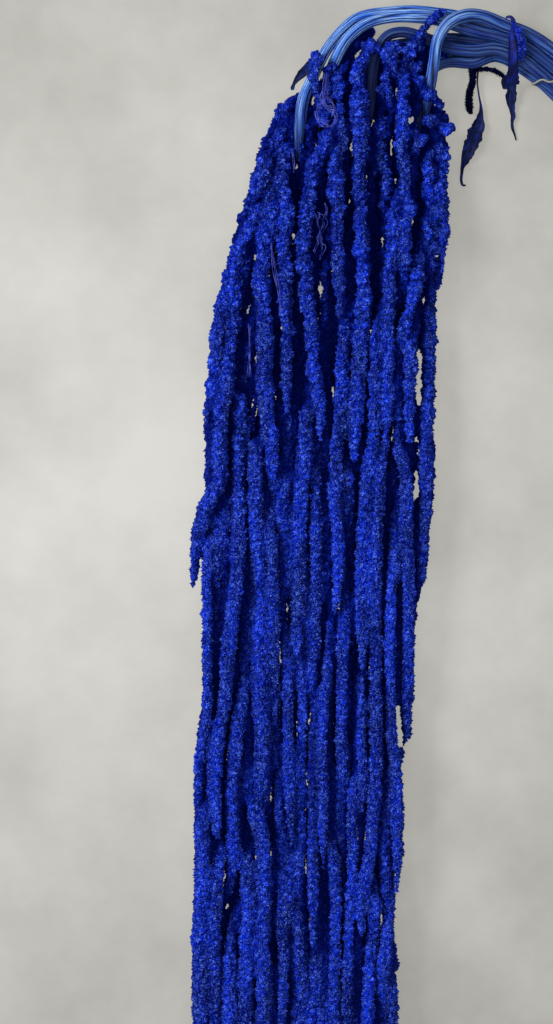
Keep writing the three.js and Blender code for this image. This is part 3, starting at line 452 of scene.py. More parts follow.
def skin_of(node, spacing, strands=(), turn=0.0):
    """A CAD node with some strands, as even quads: their points and corners. The quads' rows are turned."""
    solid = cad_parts[node].data
    points = np.empty(3 * len(solid.vertices))
    solid.vertices.foreach_get("co", points)
    points = points.reshape(-1, 3)
    faces = [list(polygon.vertices) for polygon in solid.polygons]
    for strand_points, strand_faces in strands:
        faces += [[corner + len(points) for corner in face] for face in strand_faces]
        points = np.concatenate([points, strand_points])
    turned = np.array(Euler((0.5 * turn, 0.3 * turn, turn)).to_matrix())
    mesh = bpy.data.meshes.new("skin")
    mesh.from_pydata((points @ turned).tolist(), [], faces)
    copy = bpy.data.objects.new("skin", mesh)
    bpy.context.collection.objects.link(copy)
    remesh = copy.modifiers.new("skin", "REMESH")
    remesh.mode = "VOXEL"
    remesh.voxel_size = spacing
    skin = bpy.data.meshes.new_from_object(copy.evaluated_get(bpy.context.evaluated_depsgraph_get()))
    points = np.empty(3 * len(skin.vertices))
    skin.vertices.foreach_get("co", points)
    corners = np.empty(len(skin.loops), dtype=int)
    skin.loops.foreach_get("vertex_index", corners)
    bpy.data.objects.remove(copy)
    bpy.data.meshes.remove(skin)
    bpy.data.meshes.remove(mesh)
    return points.reshape(-1, 3) @ turned.T, corners.reshape(-1, 4)


def map_cells(points):
    """The cells of a map that points lie in."""
    return tuple(np.round(points[:, :2] / SIGHT).astype(int).T + MAP_CELLS // 2)


def is_open(across, drop):
    """Whether a grid point lies in one of the openings."""
    return any(left <= across <= right and top <= drop <= bottom for left, top, right, bottom in OPENINGS)


def closing_strands():
    """Short strands that close the gaps between the tassels, by the seed head that is nearest to each."""
    top = np.full((MAP_CELLS, MAP_CELLS), -1.0)
    owner = np.full((MAP_CELLS, MAP_CELLS), -1)
    for number, name in enumerate(STEMS):
        points, _ = skin_of(f"seed_head_{name}", MAP_SKIN)
        cells = map_cells(points)
        np.maximum.at(top, cells, points[:, 2])
        owner[cells] = number
    # A tassel counts one cell narrower on each side, so that narrow gaps are found too.
    top = np.minimum(np.minimum(np.roll(top, 1, 0), top), np.roll(top, -1, 0))
    drops, lefts, rights = np.array(REACH).T
    middle = MAP_CELLS // 2
    found = {name: [] for name in STEMS}
    for kind in CLOSING:
        taken = {}
        for column in range(MAP_CELLS):
            across = ((column - middle) * SIGHT - shift[0]) / UNIT + MIDDLE[0]
            run = []
            for row in range(MAP_CELLS):
                drop = MIDDLE[1] - ((row - middle) * SIGHT - shift[1]) / UNIT
                inside = max(drops[0], kind["from"]) < drop < drops[-1]
                inside = inside and np.interp(drop, drops, lefts) < across < np.interp(drop, drops, rights)
                if inside and top[column, row] < kind["empty"] and not is_open(across, drop):
                    run.append(row)
                elif run:
                    half_way = run[len(run) // 2]
                    beside = [owner[column + step, half_way] for step in NEAREST]
                    beside = [number for number in beside if number >= 0]
                    free = all(taken.get(row, -MAP_CELLS) < column - kind["apart"] for row in run)
                    if beside and free and len(run) * SIGHT >= kind["shortest"]:
                        taken.update(dict.fromkeys(run, column))
                        found[list(STEMS)[beside[0]]].append(closing_strand(column - middle, run, kind))
                    run = []
    return found


def closing_strand(column, run, kind):
    """A short strand along one gap, which wanders a little."""
    x = column * SIGHT
    low, high = ((row - MAP_CELLS // 2) * SIGHT for row in (run[0], run[-1]))
    steps = max(3, round((high - low + 2 * OVERLAP) / STRAND_STEP))
    y = np.linspace(high + OVERLAP, low - OVERLAP, steps)
    sway = [noise.noise(Vector((x, at, 0)) / WANDERING) * MM for at in y]
    rise = [noise.noise(Vector((x, at, 1)) / WANDERING) * 1.5 * MM for at in y]
    line = np.stack([x + np.array(sway), y, kind["height"] + np.array(rise)], axis=1)
    share = np.linspace(-1, 1, len(line))[:, None]
    return tube(line, kind["radius"] * np.sqrt(1.04 - share**6) * np.ones((1, STRAND_AROUND)))


def rounded(points, edges, rounds):
    """Draws each point towards the middle of its neighbours."""
    ends = np.concatenate([edges, edges[:, ::-1]])
    count = np.bincount(ends[:, 0], minlength=len(points))[:, None]
    for _ in range(rounds):
        total = [np.bincount(ends[:, 0], points[ends[:, 1], axis], len(points)) for axis in range(3)]
        points = points + 0.5 * (np.stack(total, axis=1) / count - points)
    return points


def normals_of(points, quads):
    """The direction that the surface faces at each point."""
    facing = np.cross(points[quads[:, 2]] - points[quads[:, 0]], points[quads[:, 3]] - points[quads[:, 1]])
    total = [np.bincount(quads.ravel(), np.repeat(facing[:, axis], 4), len(points)) for axis in range(3)]
    return unit(np.stack(total, axis=1) + 1e-12)


def clumps_at(points, size, seed):
    """How far each point stands out on a round clump, from 0 in a crease to 1 on top."""
    near = [noise.voronoi(Vector(point) / size + Vector((seed, 0, 0)))[0][:2] for point in points]
    near = np.array(near)
    return np.clip(1.6 * (near[:, 1] - near[:, 0]), 0, 1) ** 0.5


def near_crown(points):
    """From 0 in the bunch's lower part to 1 near its crown."""
    lower, upper = (on_grid(0, drop, 0)[1] + shift[1] for drop in UNEVEN)
    return np.clip((points[:, 1] - lower) / (upper - lower), 0, 1)


def parted(points):
    """The points, moved apart sideways along each slit."""
    for slit in SLITS:
        upwards = np.array([on_grid(across, drop, 0) + shift for across, drop in reversed(slit)])
        aside = points[:, 0] - np.interp(points[:, 1], upwards[:, 1], upwards[:, 0])
        from_end = np.minimum(points[:, 1] - upwards[0, 1], upwards[-1, 1] - points[:, 1])
        fading = np.clip(from_end / PARTING_FADE, 0, 1)
        points[:, 0] += PARTING * fading * np.sign(aside) * np.exp(-((aside / PARTING_REACH) ** 2))
    return points


def clumpy(node, spacing, rounding, relief, seed, strands=()):
    """A node's surface, rounded and swelling in clumps: its points, quads, normals and clump heights."""
    points, quads = skin_of(node, spacing, strands, turn=0.7 + seed)
    sides = np.concatenate([quads[:, [i, (i + 1) % 4]] for i in range(4)])
    points = rounded(points, np.unique(np.sort(sides, axis=1), axis=0), rounding)
    normals = normals_of(points, quads)
    clump = clumps_at(points, CLUMP, seed)
    broad = np.array([noise.noise(Vector(point) / SWELLING + Vector((0, 0, seed))) for point in points])
    upper = near_crown(points)
    knobs = (1 + UPPER_CLUMPS * upper) * (clump - 0.5) + (SWELLS[0] + SWELLS[1] * upper) * broad
    out = SHRINKAGE * rounding / ROUNDING + relief * knobs
    return parted(points + normals * out[:, None]), quads, normals, clump


def spread(heights, reach):
    """Each cell's greatest height within reach cells."""
    for axis in (0, 1):
        heights = np.max([np.roll(heights, step, axis) for step in range(-reach, reach + 1)], axis=0)
    return heights


def grainy(points, quads, normals, clump, spacing, seed, longer=1):
    """A clumpy surface covered in grains, with plain quads where little light reaches.

    Gives its points, faces and the marks that its material reads. longer draws the grains out.
    """
    draw = np.random.default_rng(seed)
    cells = map_cells(points)
    depth = np.minimum(front_of_bunch[cells] - points[:, 2], points[:, 2] - back_of_bunch[cells])
    reached = OPEN_DEPTH[0] + (OPEN_DEPTH[1] - OPEN_DEPTH[0]) * near_crown(points)
    open_to_light = np.exp(-np.clip(depth - OUTER_SKIN, 0, None) / reached)
    lit = open_to_light[quads].mean(axis=1) > SHADED
    peaked, plain = quads[lit], quads[~lit]
    tips = points[peaked].mean(axis=1)
    outwards = unit(normals[peaked].mean(axis=1))
    height = draw.uniform(*GRAIN_HEIGHTS, len(tips)) * longer * spacing / FLORET
    tips = tips + outwards * height[:, None] + draw.normal(0, 0.7 * SCATTER * spacing, tips.shape)
    # Florets lean a little towards the tassels' tips.
    tips[:, 1] -= 0.25 * height
    points = points + draw.uniform(-SCATTER * spacing, SCATTER * spacing, points.shape)
    middle = np.arange(len(tips)) + len(points)
    sides = [[peaked[:, i], peaked[:, (i + 1) % 4], middle] for i in range(4)]
    faces = np.concatenate([np.stack(side, axis=1) for side in sides])
    marks = {
        # Each grain's tip gets a painted glint, strong on only a few.
        "painted_tip_glint": np.concatenate([np.zeros(len(points)), 0.8 * draw.uniform(0, 1, len(tips)) ** 2]),
        "clump": np.concatenate([clump, clump[peaked].mean(axis=1)]),
        "open": np.concatenate([open_to_light, open_to_light[peaked].mean(axis=1)]),
    }
    return np.concatenate([points, tips]), faces.tolist() + plain.tolist(), marks


def dyed_florets(name, painted_shade_colour):
    """Dried papery florets, dipped in blue dye: matt, with painted glints on their tips, and painted shade
    in the creases and deep among the tassels.
    """
    material, tree = new_material(name)
    painted_tip_glint = add_node(tree, "ShaderNodeAttribute", attribute_name="painted_tip_glint").outputs["Fac"]
    clump = add_node(tree, "ShaderNodeAttribute", attribute_name="clump").outputs["Fac"]
    open_to_light = add_node(tree, "ShaderNodeAttribute", attribute_name="open").outputs["Fac"]
    place = add_node(tree, "ShaderNodeTexCoord").outputs["Object"]
    # The dye took unevenly, in patches some 70 mm long and as wide as a tassel.
    patch_place = add_node(
        tree, "ShaderNodeVectorMath", {1: (1 / (13 * MM), 1 / (70 * MM), 1 / (13 * MM))}, {0: place},
        operation="MULTIPLY",
    ).outputs[0]
    patch = add_node(
        tree, "ShaderNodeTexNoise", {"Scale": 1.0, "Detail": 2.0}, {"Vector": patch_place}
    ).outputs["Fac"]
    uneven = add_node(
        tree, "ShaderNodeMapRange", {"From Min": 0.35, "From Max": 0.68}, {"Value": patch}
    ).outputs[0]
    # The clumps' creases are painted darker, a painted shade, and so is what lies deep among the tassels.
    clump_painted_light = add_node(
        tree, "ShaderNodeMapRange", {"From Min": 0.12, "From Max": 0.75, "To Min": 0.3}, {"Value": clump}
    ).outputs[0]
    lit = add_node(
        tree, "ShaderNodeMath", links={0: clump_painted_light, 1: open_to_light}, operation="MULTIPLY"
    ).outputs[0]
    dye = add_node(
        tree, "ShaderNodeMix", {FIRST: "#000b84", SECOND: "#042cd4"}, {FACTOR: uneven}, data_type="RGBA"
    ).outputs[MIXED]
    # Where little light falls, the florets are painted the shade colour given: painted shade.
    body = add_node(
        tree, "ShaderNodeMix", {FIRST: painted_shade_colour}, {FACTOR: lit, SECOND: dye}, data_type="RGBA"
    ).outputs[MIXED]
    # Single florets lie 1.5 mm apart. Each has a painted glint in its middle, brighter or duller by chance,
    # and only where painted light falls.
    bract = add_node(tree, "ShaderNodeTexVoronoi", {"Scale": 1 / (1.5 * MM)}, {"Vector": place})
    centre = add_node(
        tree, "ShaderNodeMapRange", {"From Min": 0.5, "From Max": 0.12},
        {"Value": bract.outputs["Distance"]},
    ).outputs[0]
    chance = add_node(tree, "ShaderNodeSeparateColor", links={0: bract.outputs["Color"]}).outputs[0]
    chance = add_node(
        tree, "ShaderNodeMapRange", {"From Min": 0.3, "From Max": 1.0, "To Min": 0.1, "To Max": 0.9},
        {"Value": chance},
    ).outputs[0]
    painted_glint = add_node(tree, "ShaderNodeMath", links={0: centre, 1: chance}, operation="MULTIPLY").outputs[0]
    painted_glint = add_node(tree, "ShaderNodeMath", links={0: painted_tip_glint, 1: painted_glint}, operation="MAXIMUM").outputs[0]
    lit_tip = add_node(tree, "ShaderNodeMath", links={0: painted_glint, 1: lit}, operation="MULTIPLY").outputs[0]
    # The glints are painted pale blue.
    colour = add_node(
        tree, "ShaderNodeMix", {SECOND: "#74a0ff"}, {FACTOR: lit_tip, FIRST: body}, data_type="RGBA"
    ).outputs[MIXED]
    surface = add_node(
        tree, "ShaderNodeBsdfPrincipled", {"Roughness": 0.7, "IOR": 1.4, "Specular IOR Level": 0.05},
        {"Base Color": colour},
    )
    add_node(tree, "ShaderNodeOutputMaterial", links={"Surface": surface.outputs[0]})
    return material


closing = closing_strands()
heads = {}
for number, name in enumerate(STEMS):
    strands = closing[name] + [loose_strand(path, width) for width, path in CROWN_TUFTS[name]]
    heads[name] = clumpy(f"seed_head_{name}", FLORET, ROUNDING, CLUMP_HEIGHT, 10 * number + 3, strands)
# The back's map holds how far each place lies below ABOVE_ALL until it is turned round.
front_of_bunch = np.zeros((MAP_CELLS, MAP_CELLS))
back_of_bunch = np.zeros((MAP_CELLS, MAP_CELLS))
for points in stem_surfaces:
    np.maximum.at(front_of_bunch, map_cells(points), points[:, 2])
for points, *_ in heads.values():
    np.maximum.at(front_of_bunch, map_cells(points), points[:, 2])
    np.maximum.at(back_of_bunch, map_cells(points), ABOVE_ALL - points[:, 2])
front_of_bunch = spread(front_of_bunch, HIDING)
back_of_bunch = ABOVE_ALL - spread(back_of_bunch, HIDING)

florets = dyed_florets("dried_amaranth_florets_dyed_ultramarine", "#000c5c")
for number, (name, head) in enumerate(heads.items()):
    points, faces, marks = grainy(*head, FLORET, number)
    nodes = [f"seed_head_{name}"]
    make_piece(f"tassels_{name}", points, faces, marks, florets, nodes, smooth=False)


# Loose fibres. Thin strings of the stems' bast have come off, curled as they dried and lie in loops on the
# tassels, dyed violet-blue.
FIBRE_RADIUS = 0.3 * MM
FIBRE_COPIES = 3  # fibres that run side by side along each path
FIBRE_STRAY = 1.3  # grid steps
FIBRE_AROUND = 5  # points round a fibre
FIBRE_EASING = 6  # rounds that even out how a fibre rises and falls over the tassels
FIBRES = [
    [[326, 75], [323, 86], [321, 97], [325, 108], [332, 112], [335, 119], [331, 126], [323, 126],
     [317, 121], [316, 113]],
    [[327, 74], [326, 88], [323, 98], [327, 107], [333, 106]],
    [[324, 76], [327, 90], [325, 102], [319, 108], [317, 116], [322, 122], [330, 121]],
    [[328, 78], [324, 93], [329, 101], [334, 109], [332, 117]],
    [[318, 214], [322, 216], [324.5, 222], [322, 230], [319, 237], [317, 244], [313.5, 252]],
    [[319, 216], [318, 224], [320, 232], [321, 240], [323, 247], [321, 256]],
    [[326, 205], [327, 211], [325, 216]],
    [[294, 152], [294.5, 162], [294, 172]],
    [[272, 245], [275, 270], [279, 295], [281, 315]],
    [[250, 325], [250, 350], [249, 375]],
]


def dried_fibre():
    """Dried bast: a smooth, slightly glossy string, darker here and there where it took more dye."""
    material, tree = new_material("dried_bast_fibre_dyed_violet")
    place = add_node(tree, "ShaderNodeTexCoord").outputs["Object"]
    stain = add_node(
        tree, "ShaderNodeTexNoise", {"Scale": 1 / (7 * MM), "Detail": 2.0}, {"Vector": place}
    ).outputs["Fac"]
    took = add_node(
        tree, "ShaderNodeMapRange", {"From Min": 0.4, "From Max": 0.62}, {"Value": stain}
    ).outputs[0]
    colour = add_node(
        tree, "ShaderNodeMix", {FIRST: "#141c80", SECOND: "#4656c4"}, {FACTOR: took}, data_type="RGBA"
    ).outputs[MIXED]
    surface = add_node(
        tree, "ShaderNodeBsdfPrincipled", {"Roughness": 0.45, "IOR": 1.45}, {"Base Color": colour}
    )
    add_node(tree, "ShaderNodeOutputMaterial", links={"Surface": surface.outputs[0]})
    return material


fibre_points, fibre_faces = np.empty((0, 3)), []
stray = np.random.default_rng(5)
for path in FIBRES * FIBRE_COPIES:
    path = np.array(path) + stray.normal(0, FIBRE_STRAY, (len(path), 2))
    line = smooth_line([on_grid(across, drop, 0) for across, drop in path], 1.5 * MM) + shift
    line[:, 2] = front_of_bunch[map_cells(line)]
    for _ in range(FIBRE_EASING):
        line[1:-1, 2] = (line[:-2, 2] + line[1:-1, 2] + line[2:, 2]) / 3
    points, faces = tube(line, np.full((len(line), FIBRE_AROUND), FIBRE_RADIUS))
    fibre_faces += [[corner + len(fibre_points) for corner in face] for face in faces]
    fibre_points = np.concatenate([fibre_points, points])
make_piece("loose_fibres", fibre_points, fibre_faces, {}, dried_fibre())


# Two sprigs, caught on the stems. Each is a short twig with one small dried tassel, whose florets are thin
# and spiky. One hangs in the bundle's shade and is painted nearly black, a painted shade; the other lies
# over the bundle.
SPRIG_FLORET = 1.0 * MM
SPRIG_SPIKES = 2.6  # how much longer a floret stands out here, against its spacing
TWIG_WIDTH = 2.6  # grid steps
SPRIG_CLUMP_HEIGHT = 0.3 * MM
# twigs are those that the sprig's solid lacks, [across, drop, height]. open says how much painted light it
# gets: little means painted shade.
SPRIGS = {
    "hanging": {
        "twigs": [[[473, 67, 4.2], [480, 68, 4.4], [487, 67.5, 4.6], [494, 69, 4.6], [501, 72, 4.4],
                   [506, 76, 4.0]]],
        "open": 0.06,
        # This copy of the florets is painted nearly black: painted shade.
        "florets": dyed_florets("dried_amaranth_florets_in_painted_shade", "#01030e"),
    },
    "draped": {"twigs": [], "open": 1.0, "florets": florets},
}
for name, sprig in SPRIGS.items():
    strands = [loose_strand(path, TWIG_WIDTH) for path in sprig["twigs"]]
    tassel = clumpy(f"sprig_{name}", SPRIG_FLORET, 1, SPRIG_CLUMP_HEIGHT, 70, strands)
    points, faces, marks = grainy(*tassel, SPRIG_FLORET, 71, SPRIG_SPIKES)
    marks["open"] = np.full(len(points), sprig["open"])
    dye, nodes = sprig["florets"], [f"sprig_{name}"]
    make_piece(f"small_tassel_{name}", points, faces, marks, dye, nodes, smooth=False)


# Three dried leaves that stayed on the stems. A leaf dries thin and brittle: its blade cups, its edges curl
# and its veins stand out, and the dye turns it navy. The part of a leaf that lies on top is painted
# brighter blue; the rest lies in shade and is painted darker.
LEAF_THICKNESS = 0.7 * MM
LEAF_RING = 1.6 * MM
LEAF_ACROSS = 13  # points across a blade
LEAF_BROAD = 10  # grid steps of width, from which on a blade cups and crumples in full
CRUMPLE = 1.3 * MM
RAGGED = 0.3  # how far an edge strays in and out, as a share of the half width
LEAF_FADE = 8 * MM
# Each row is across, drop, the half width to the left and to the right on the grid, and the height in mm.
# Beside its rows, a leaf's third value says how brightly it is painted, low where it lies in painted shade;
# below the drop in its fourth value it is painted nearly as dark as the others.
LEAVES = {
    "hanging": {
        "rows": [[479, 67, 1.0, 1.0, 4.1], [478, 81, 0.8, 0.8, 3.9], [480, 96, 0.9, 0.9, 3.5],
                 [481.5, 104, 1.3, 1.3, 3.2], [481.5, 111, 2.2, 2.4, 3.0], [480.5, 118, 4.6, 4.0, 3.0],
                 [479.5, 125, 7.0, 6.3, 3.2], [476.5, 131, 7.6, 7.0, 3.6], [474.5, 137, 7.6, 8.0, 4.0],
                 [470.5, 146, 6.8, 7.0, 3.8], [467, 153, 5.0, 6.6, 3.4], [464.5, 160, 2.8, 5.4, 2.8],
                 [463, 166, 1.9, 2.2, 2.0], [462.5, 172, 1.6, 1.5, 1.6], [462, 179, 1.5, 1.3, 1.4],
                 [463.5, 184, 1.3, 1.2, 1.3], [466.5, 184, 0.8, 0.8, 1.2]],
        "cupping": 1.6 * MM,
        "painted_light": 0.25,
    },
    "draped": {
        "rows": [[506, 17, 1.0, 1.0, 18], [510, 16.5, 1.6, 1.6, 20.5], [513.5, 20, 2.0, 2.0, 22],
                 [513, 27, 1.8, 2.0, 23], [511.5, 34, 2.2, 2.4, 23.4], [512, 42, 3.6, 4.2, 24.6],
                 [512.5, 49, 4.2, 5.2, 25.6], [512.5, 56, 4.4, 5.0, 25.6], [512.5, 63, 4.4, 5.4, 24.0],
                 [512.5, 70, 4.8, 6.0, 19.5], [512, 75, 5.4, 7.2, 14.5], [511, 79, 8.6, 9.0, 10.5],
                 [511, 84, 9.0, 8.4, 7.6], [512, 88, 4.2, 4.6, 5.6], [512, 94, 6.0, 5.8, 4.6],
                 [512, 99, 5.2, 5.0, 4.0], [512.5, 104, 4.2, 3.4, 3.2], [513, 110, 2.4, 2.8, 2.4],
                 [513.5, 115, 2.0, 3.2, 2.0], [513, 120, 1.6, 1.6, 1.7], [513.5, 127, 1.6, 1.4, 1.5],
                 [515.5, 133, 1.0, 1.0, 1.3], [517, 139, 0.7, 0.7, 1.1]],
        "cupping": 1.0 * MM,
        "painted_light": 0.9,
        "painted_shade_below": 86,
    },
    "jutting": {
        "rows": [[317, 57, 3.0, 3.0, 13], [311, 63, 4.2, 4.4, 12.4], [305, 70, 4.6, 4.6, 11.8],
                 [300, 75, 4.0, 3.8, 11.0], [296, 80, 2.6, 2.4, 10.4], [293.5, 84, 1.6, 1.6, 9.8],
                 [292.6, 87, 2.2, 2.2, 9.3], [292, 89, 1.2, 1.2, 9.0]],
        "cupping": 1.4 * MM,
        "painted_light": 0.1,
    },
}


def dried_blade(rows, cupping, seed):
    """A thin closed blade along its rows: its points, faces, and marks for its grain and its edges."""
    laid = [
        [*on_grid(across, drop, high * MM), left * UNIT, right * UNIT]
        for across, drop, left, right, high in rows
    ]
    laid = smooth_line(laid, LEAF_RING)
    line, halves = laid[:, :3] + shift, laid[:, 3:]
    aside = unit(np.cross(unit(np.gradient(line, axis=0)), [0, 0, 1]))
    share = np.linspace(-1, 1, LEAF_ACROSS)
    # Where the leaf hangs down the picture, aside points to the left.
    width = np.where(share < 0, halves[:, 1:], halves[:, :1]) * share
    travelled = np.arange(len(line))[:, None] * LEAF_RING * np.ones(LEAF_ACROSS)
    broad = np.clip(halves.sum(axis=1) / (LEAF_BROAD * UNIT), 0, 1)[:, None]
    curl = cupping * broad * (share**2 - 0.3)
    # Crumples are some 5 mm by 8 mm, and the edge is nicked every 3.5 mm.
    crumple = [[noise.noise(Vector((w / (5 * MM), t / (8 * MM), seed))) for w, t in zip(*row)]
               for row in zip(width, travelled)]
    ragged = [[noise.noise(Vector((3 * s, t / (3.5 * MM), seed + 9))) for s, t in zip(share, row)]
              for row in travelled]
    width = width * (1 + RAGGED * broad * np.abs(share) * np.array(ragged))
    middle = line[:, None] + aside[:, None] * width[..., None]
    middle[..., 2] += curl + CRUMPLE * broad * np.array(crumple)
    middle[..., 2] = np.maximum(middle[..., 2], LEAF_THICKNESS / 2)
    thick = LEAF_THICKNESS / 2 * (1 - 0.6 * np.abs(share) ** 3)
    up = np.stack([0 * thick, 0 * thick, thick], axis=1)
    rings = np.concatenate([middle + up, (middle - up)[:, ::-1]], axis=1)
    points, faces = closed_rings(rings)
    grain = np.stack([width, travelled, np.full_like(width, seed)], axis=-1)
    grain = np.concatenate([grain, grain[:, ::-1]], axis=1)
    edge = np.tile(np.concatenate([np.abs(share), np.abs(share)[::-1]]), (len(line), 1))
    # Where the blade narrows to its stalk or tip, it is all edge.
    edge = np.maximum(edge, 1 - 1.6 * broad)
    ends = np.array([0, len(line) - 1])
    marks = {
        "grain": np.concatenate([grain.reshape(-1, 3), grain[ends, 0]]),
        "edge": np.concatenate([edge.ravel(), [0, 0]]),
    }
    return points, faces, marks


def dried_leaf():
    """A leaf dried whole and dyed: matt skin with darker edges and lengthwise veins 1.4 mm apart."""
    material, tree = new_material("air_dried_leaf_dyed_navy")
    grain = add_node(tree, "ShaderNodeAttribute", attribute_name="grain").outputs["Vector"]
    edge = add_node(tree, "ShaderNodeAttribute", attribute_name="edge").outputs["Fac"]
    painted_light = add_node(tree, "ShaderNodeAttribute", attribute_name="painted_light").outputs["Fac"]
    vein_place = add_node(
        tree, "ShaderNodeVectorMath", {1: (1 / (1.4 * MM), 1 / (16 * MM), 1)}, {0: grain},
        operation="MULTIPLY",
    ).outputs[0]
    vein = add_node(
        tree, "ShaderNodeTexNoise", {"Scale": 1.0, "Detail": 2.0}, {"Vector": vein_place}
    ).outputs["Fac"]
    blotch = add_node(
        tree, "ShaderNodeTexNoise", {"Scale": 1 / (6 * MM), "Detail": 3.0}, {"Vector": grain}
    ).outputs["Fac"]
    raised = add_node(
        tree, "ShaderNodeMapRange", {"From Min": 0.42, "From Max": 0.6}, {"Value": vein}
    ).outputs[0]
    soaked = add_node(
        tree, "ShaderNodeMapRange", {"From Min": 0.4, "From Max": 0.62, "To Max": 0.8}, {"Value": blotch}
    ).outputs[0]
    # A leaf in shade is painted navy and one in light a brighter blue: painted shade and painted light.
    navy_in_painted_shade = add_node(
        tree, "ShaderNodeMix", {FIRST: "#030b28", SECOND: "#113070"}, {FACTOR: raised}, data_type="RGBA"
    ).outputs[MIXED]
    blue_in_painted_light = add_node(
        tree, "ShaderNodeMix", {FIRST: "#080f62", SECOND: "#1a2a9c"}, {FACTOR: raised}, data_type="RGBA"
    ).outputs[MIXED]
    blue = add_node(
        tree, "ShaderNodeMix", links={FACTOR: painted_light, FIRST: navy_in_painted_shade, SECOND: blue_in_painted_light}, data_type="RGBA"
    ).outputs[MIXED]
    blue = add_node(
        tree, "ShaderNodeMix", {SECOND: "#060c2c"}, {FACTOR: soaked, FIRST: blue}, data_type="RGBA"
    ).outputs[MIXED]
    rim = add_node(
        tree, "ShaderNodeMapRange", {"From Min": 0.72, "From Max": 0.98}, {"Value": edge}
    ).outputs[0]
    colour = add_node(
        tree, "ShaderNodeMix", {SECOND: "#02061c"}, {FACTOR: rim, FIRST: blue}, data_type="RGBA"
    ).outputs[MIXED]
    bump = add_node(
        tree, "ShaderNodeBump", {"Strength": 0.7, "Distance": 0.3 * MM}, {"Height": vein}
    ).outputs[0]
    surface = add_node(
        tree, "ShaderNodeBsdfPrincipled", {"Roughness": 0.6, "IOR": 1.45, "Specular IOR Level": 0.15},
        {"Base Color": colour, "Normal": bump},
    )
    add_node(tree, "ShaderNodeOutputMaterial", links={"Surface": surface.outputs[0]})
    return material


leaf_skin = dried_leaf()
for seed, (name, leaf) in enumerate(LEAVES.items()):
    points, faces, marks = dried_blade(leaf["rows"], leaf["cupping"], seed)
    marks["painted_light"] = np.full(len(points), leaf["painted_light"])
    # Below a given drop, the draped leaf is painted dark, a painted shade.
    if "painted_shade_below" in leaf:
        lowest = on_grid(0, leaf["painted_shade_below"], 0)[1] + shift[1]
        marks["painted_light"] = leaf["painted_light"] * np.clip((points[:, 1] - lowest) / LEAF_FADE, 0.1, 1)
    make_piece(f"leaf_{name}", points, faces, marks, leaf_skin, [f"dried_leaf_{name}"])


# The string. A length of undyed cotton twine, two plies twisted together, is wound once on the slant and
# then three times close round all six stems.
STRING_RADIUS = 0.9 * MM
STRING_GAP = 0.4 * MM
STRING_ROOM = 0.8 * MM  # between the string and the stems' round outline
STRING_SLANT = 34 * MM  # how far along the bundle the slanting turn runs
STRING_START = 0.53  # share of the bundle's curve, counted from the cut ends
STRING_TURNS = 4
TWIST = 4.5 * MM  # one full turn of the plies
TURN_POINTS = 14  # points given for each turn round the bundle
BUNDLE_STEP = 0.5 * MM
STRING_AROUND = 10  # points round the twine
STRING_RING = 0.9 * MM


def string_line():
    """The twine's middle line: turn by turn round whichever stem lies outermost on each side."""
    lanes = np.array([[stem["lane"][0] * STEM_PITCH, stem["lane"][1]] for stem in STEMS.values()])
    curve = smooth_line(lane_line(0, 0), BUNDLE_STEP)
    reach = STEM_RADIUS + STRING_ROOM + STRING_RADIUS
    points = []
    for turn in np.arange(STRING_TURNS * TURN_POINTS + 1) / TURN_POINTS:
        facing = np.array([math.cos(2 * math.pi * turn), math.sin(2 * math.pi * turn)])
        stem = lanes[np.argmax(lanes @ facing)]
        slant = STRING_SLANT / 2 * (1 - facing[0]) if turn < 1 else 0
        start = STRING_START * (len(curve) - 1)
        at = start + (slant - turn * (2 * STRING_RADIUS + STRING_GAP)) / BUNDLE_STEP
        before, share = int(at), at - int(at)
        forward = unit(curve[before + 1] - curve[before])
        middle = curve[before] + share * (curve[before + 1] - curve[before])
        aside, up = stem + reach * facing
        points.append(middle + np.array([forward[1] * aside, -forward[0] * aside, up]))
    return smooth_line(points, STRING_RING)


def cotton_twine():
    """Spun cotton, undyed and gone grey-beige: matt, with fluff in tufts 0.6 mm wide, and painted shade in
    the grooves between its plies.
    """
    material, tree = new_material("undyed_cotton_twine")
    painted_groove_shade = add_node(tree, "ShaderNodeAttribute", attribute_name="painted_groove_shade").outputs["Fac"]
    place = add_node(tree, "ShaderNodeTexCoord").outputs["Object"]
    fluff = add_node(
        tree, "ShaderNodeTexNoise", {"Scale": 1 / (0.6 * MM), "Detail": 3.0}, {"Vector": place}
    ).outputs["Fac"]
    spun = add_node(
        tree, "ShaderNodeMix", {FIRST: "#7d7c6c", SECOND: "#b9b8a8"}, {FACTOR: fluff}, data_type="RGBA"
    ).outputs[MIXED]
    # Between the plies the twine is painted dark grey-blue, a painted shade.
    colour = add_node(
        tree, "ShaderNodeMix", {SECOND: "#3b3f4a"}, {FACTOR: painted_groove_shade, FIRST: spun}, data_type="RGBA"
    ).outputs[MIXED]
    bump = add_node(
        tree, "ShaderNodeBump", {"Strength": 0.6, "Distance": 0.2 * MM}, {"Height": fluff}
    ).outputs[0]
    surface = add_node(
        tree, "ShaderNodeBsdfPrincipled", {"Roughness": 0.9}, {"Base Color": colour, "Normal": bump}
    )
    add_node(tree, "ShaderNodeOutputMaterial", links={"Surface": surface.outputs[0]})
    return material


line = string_line() + shift
angles = np.linspace(0, 2 * math.pi, STRING_AROUND, endpoint=False)[None, :]
travelled = np.arange(len(line))[:, None] * STRING_RING
ply = np.abs(np.cos(angles + 2 * math.pi * travelled / TWIST))
points, faces = tube(line, STRING_RADIUS * (0.74 + 0.3 * ply))
marks = {"painted_groove_shade": np.concatenate([(1 - ply).ravel() ** 2, [0, 0]])}
make_piece("twine", points, faces, marks, cotton_twine(), ["string_tie"])


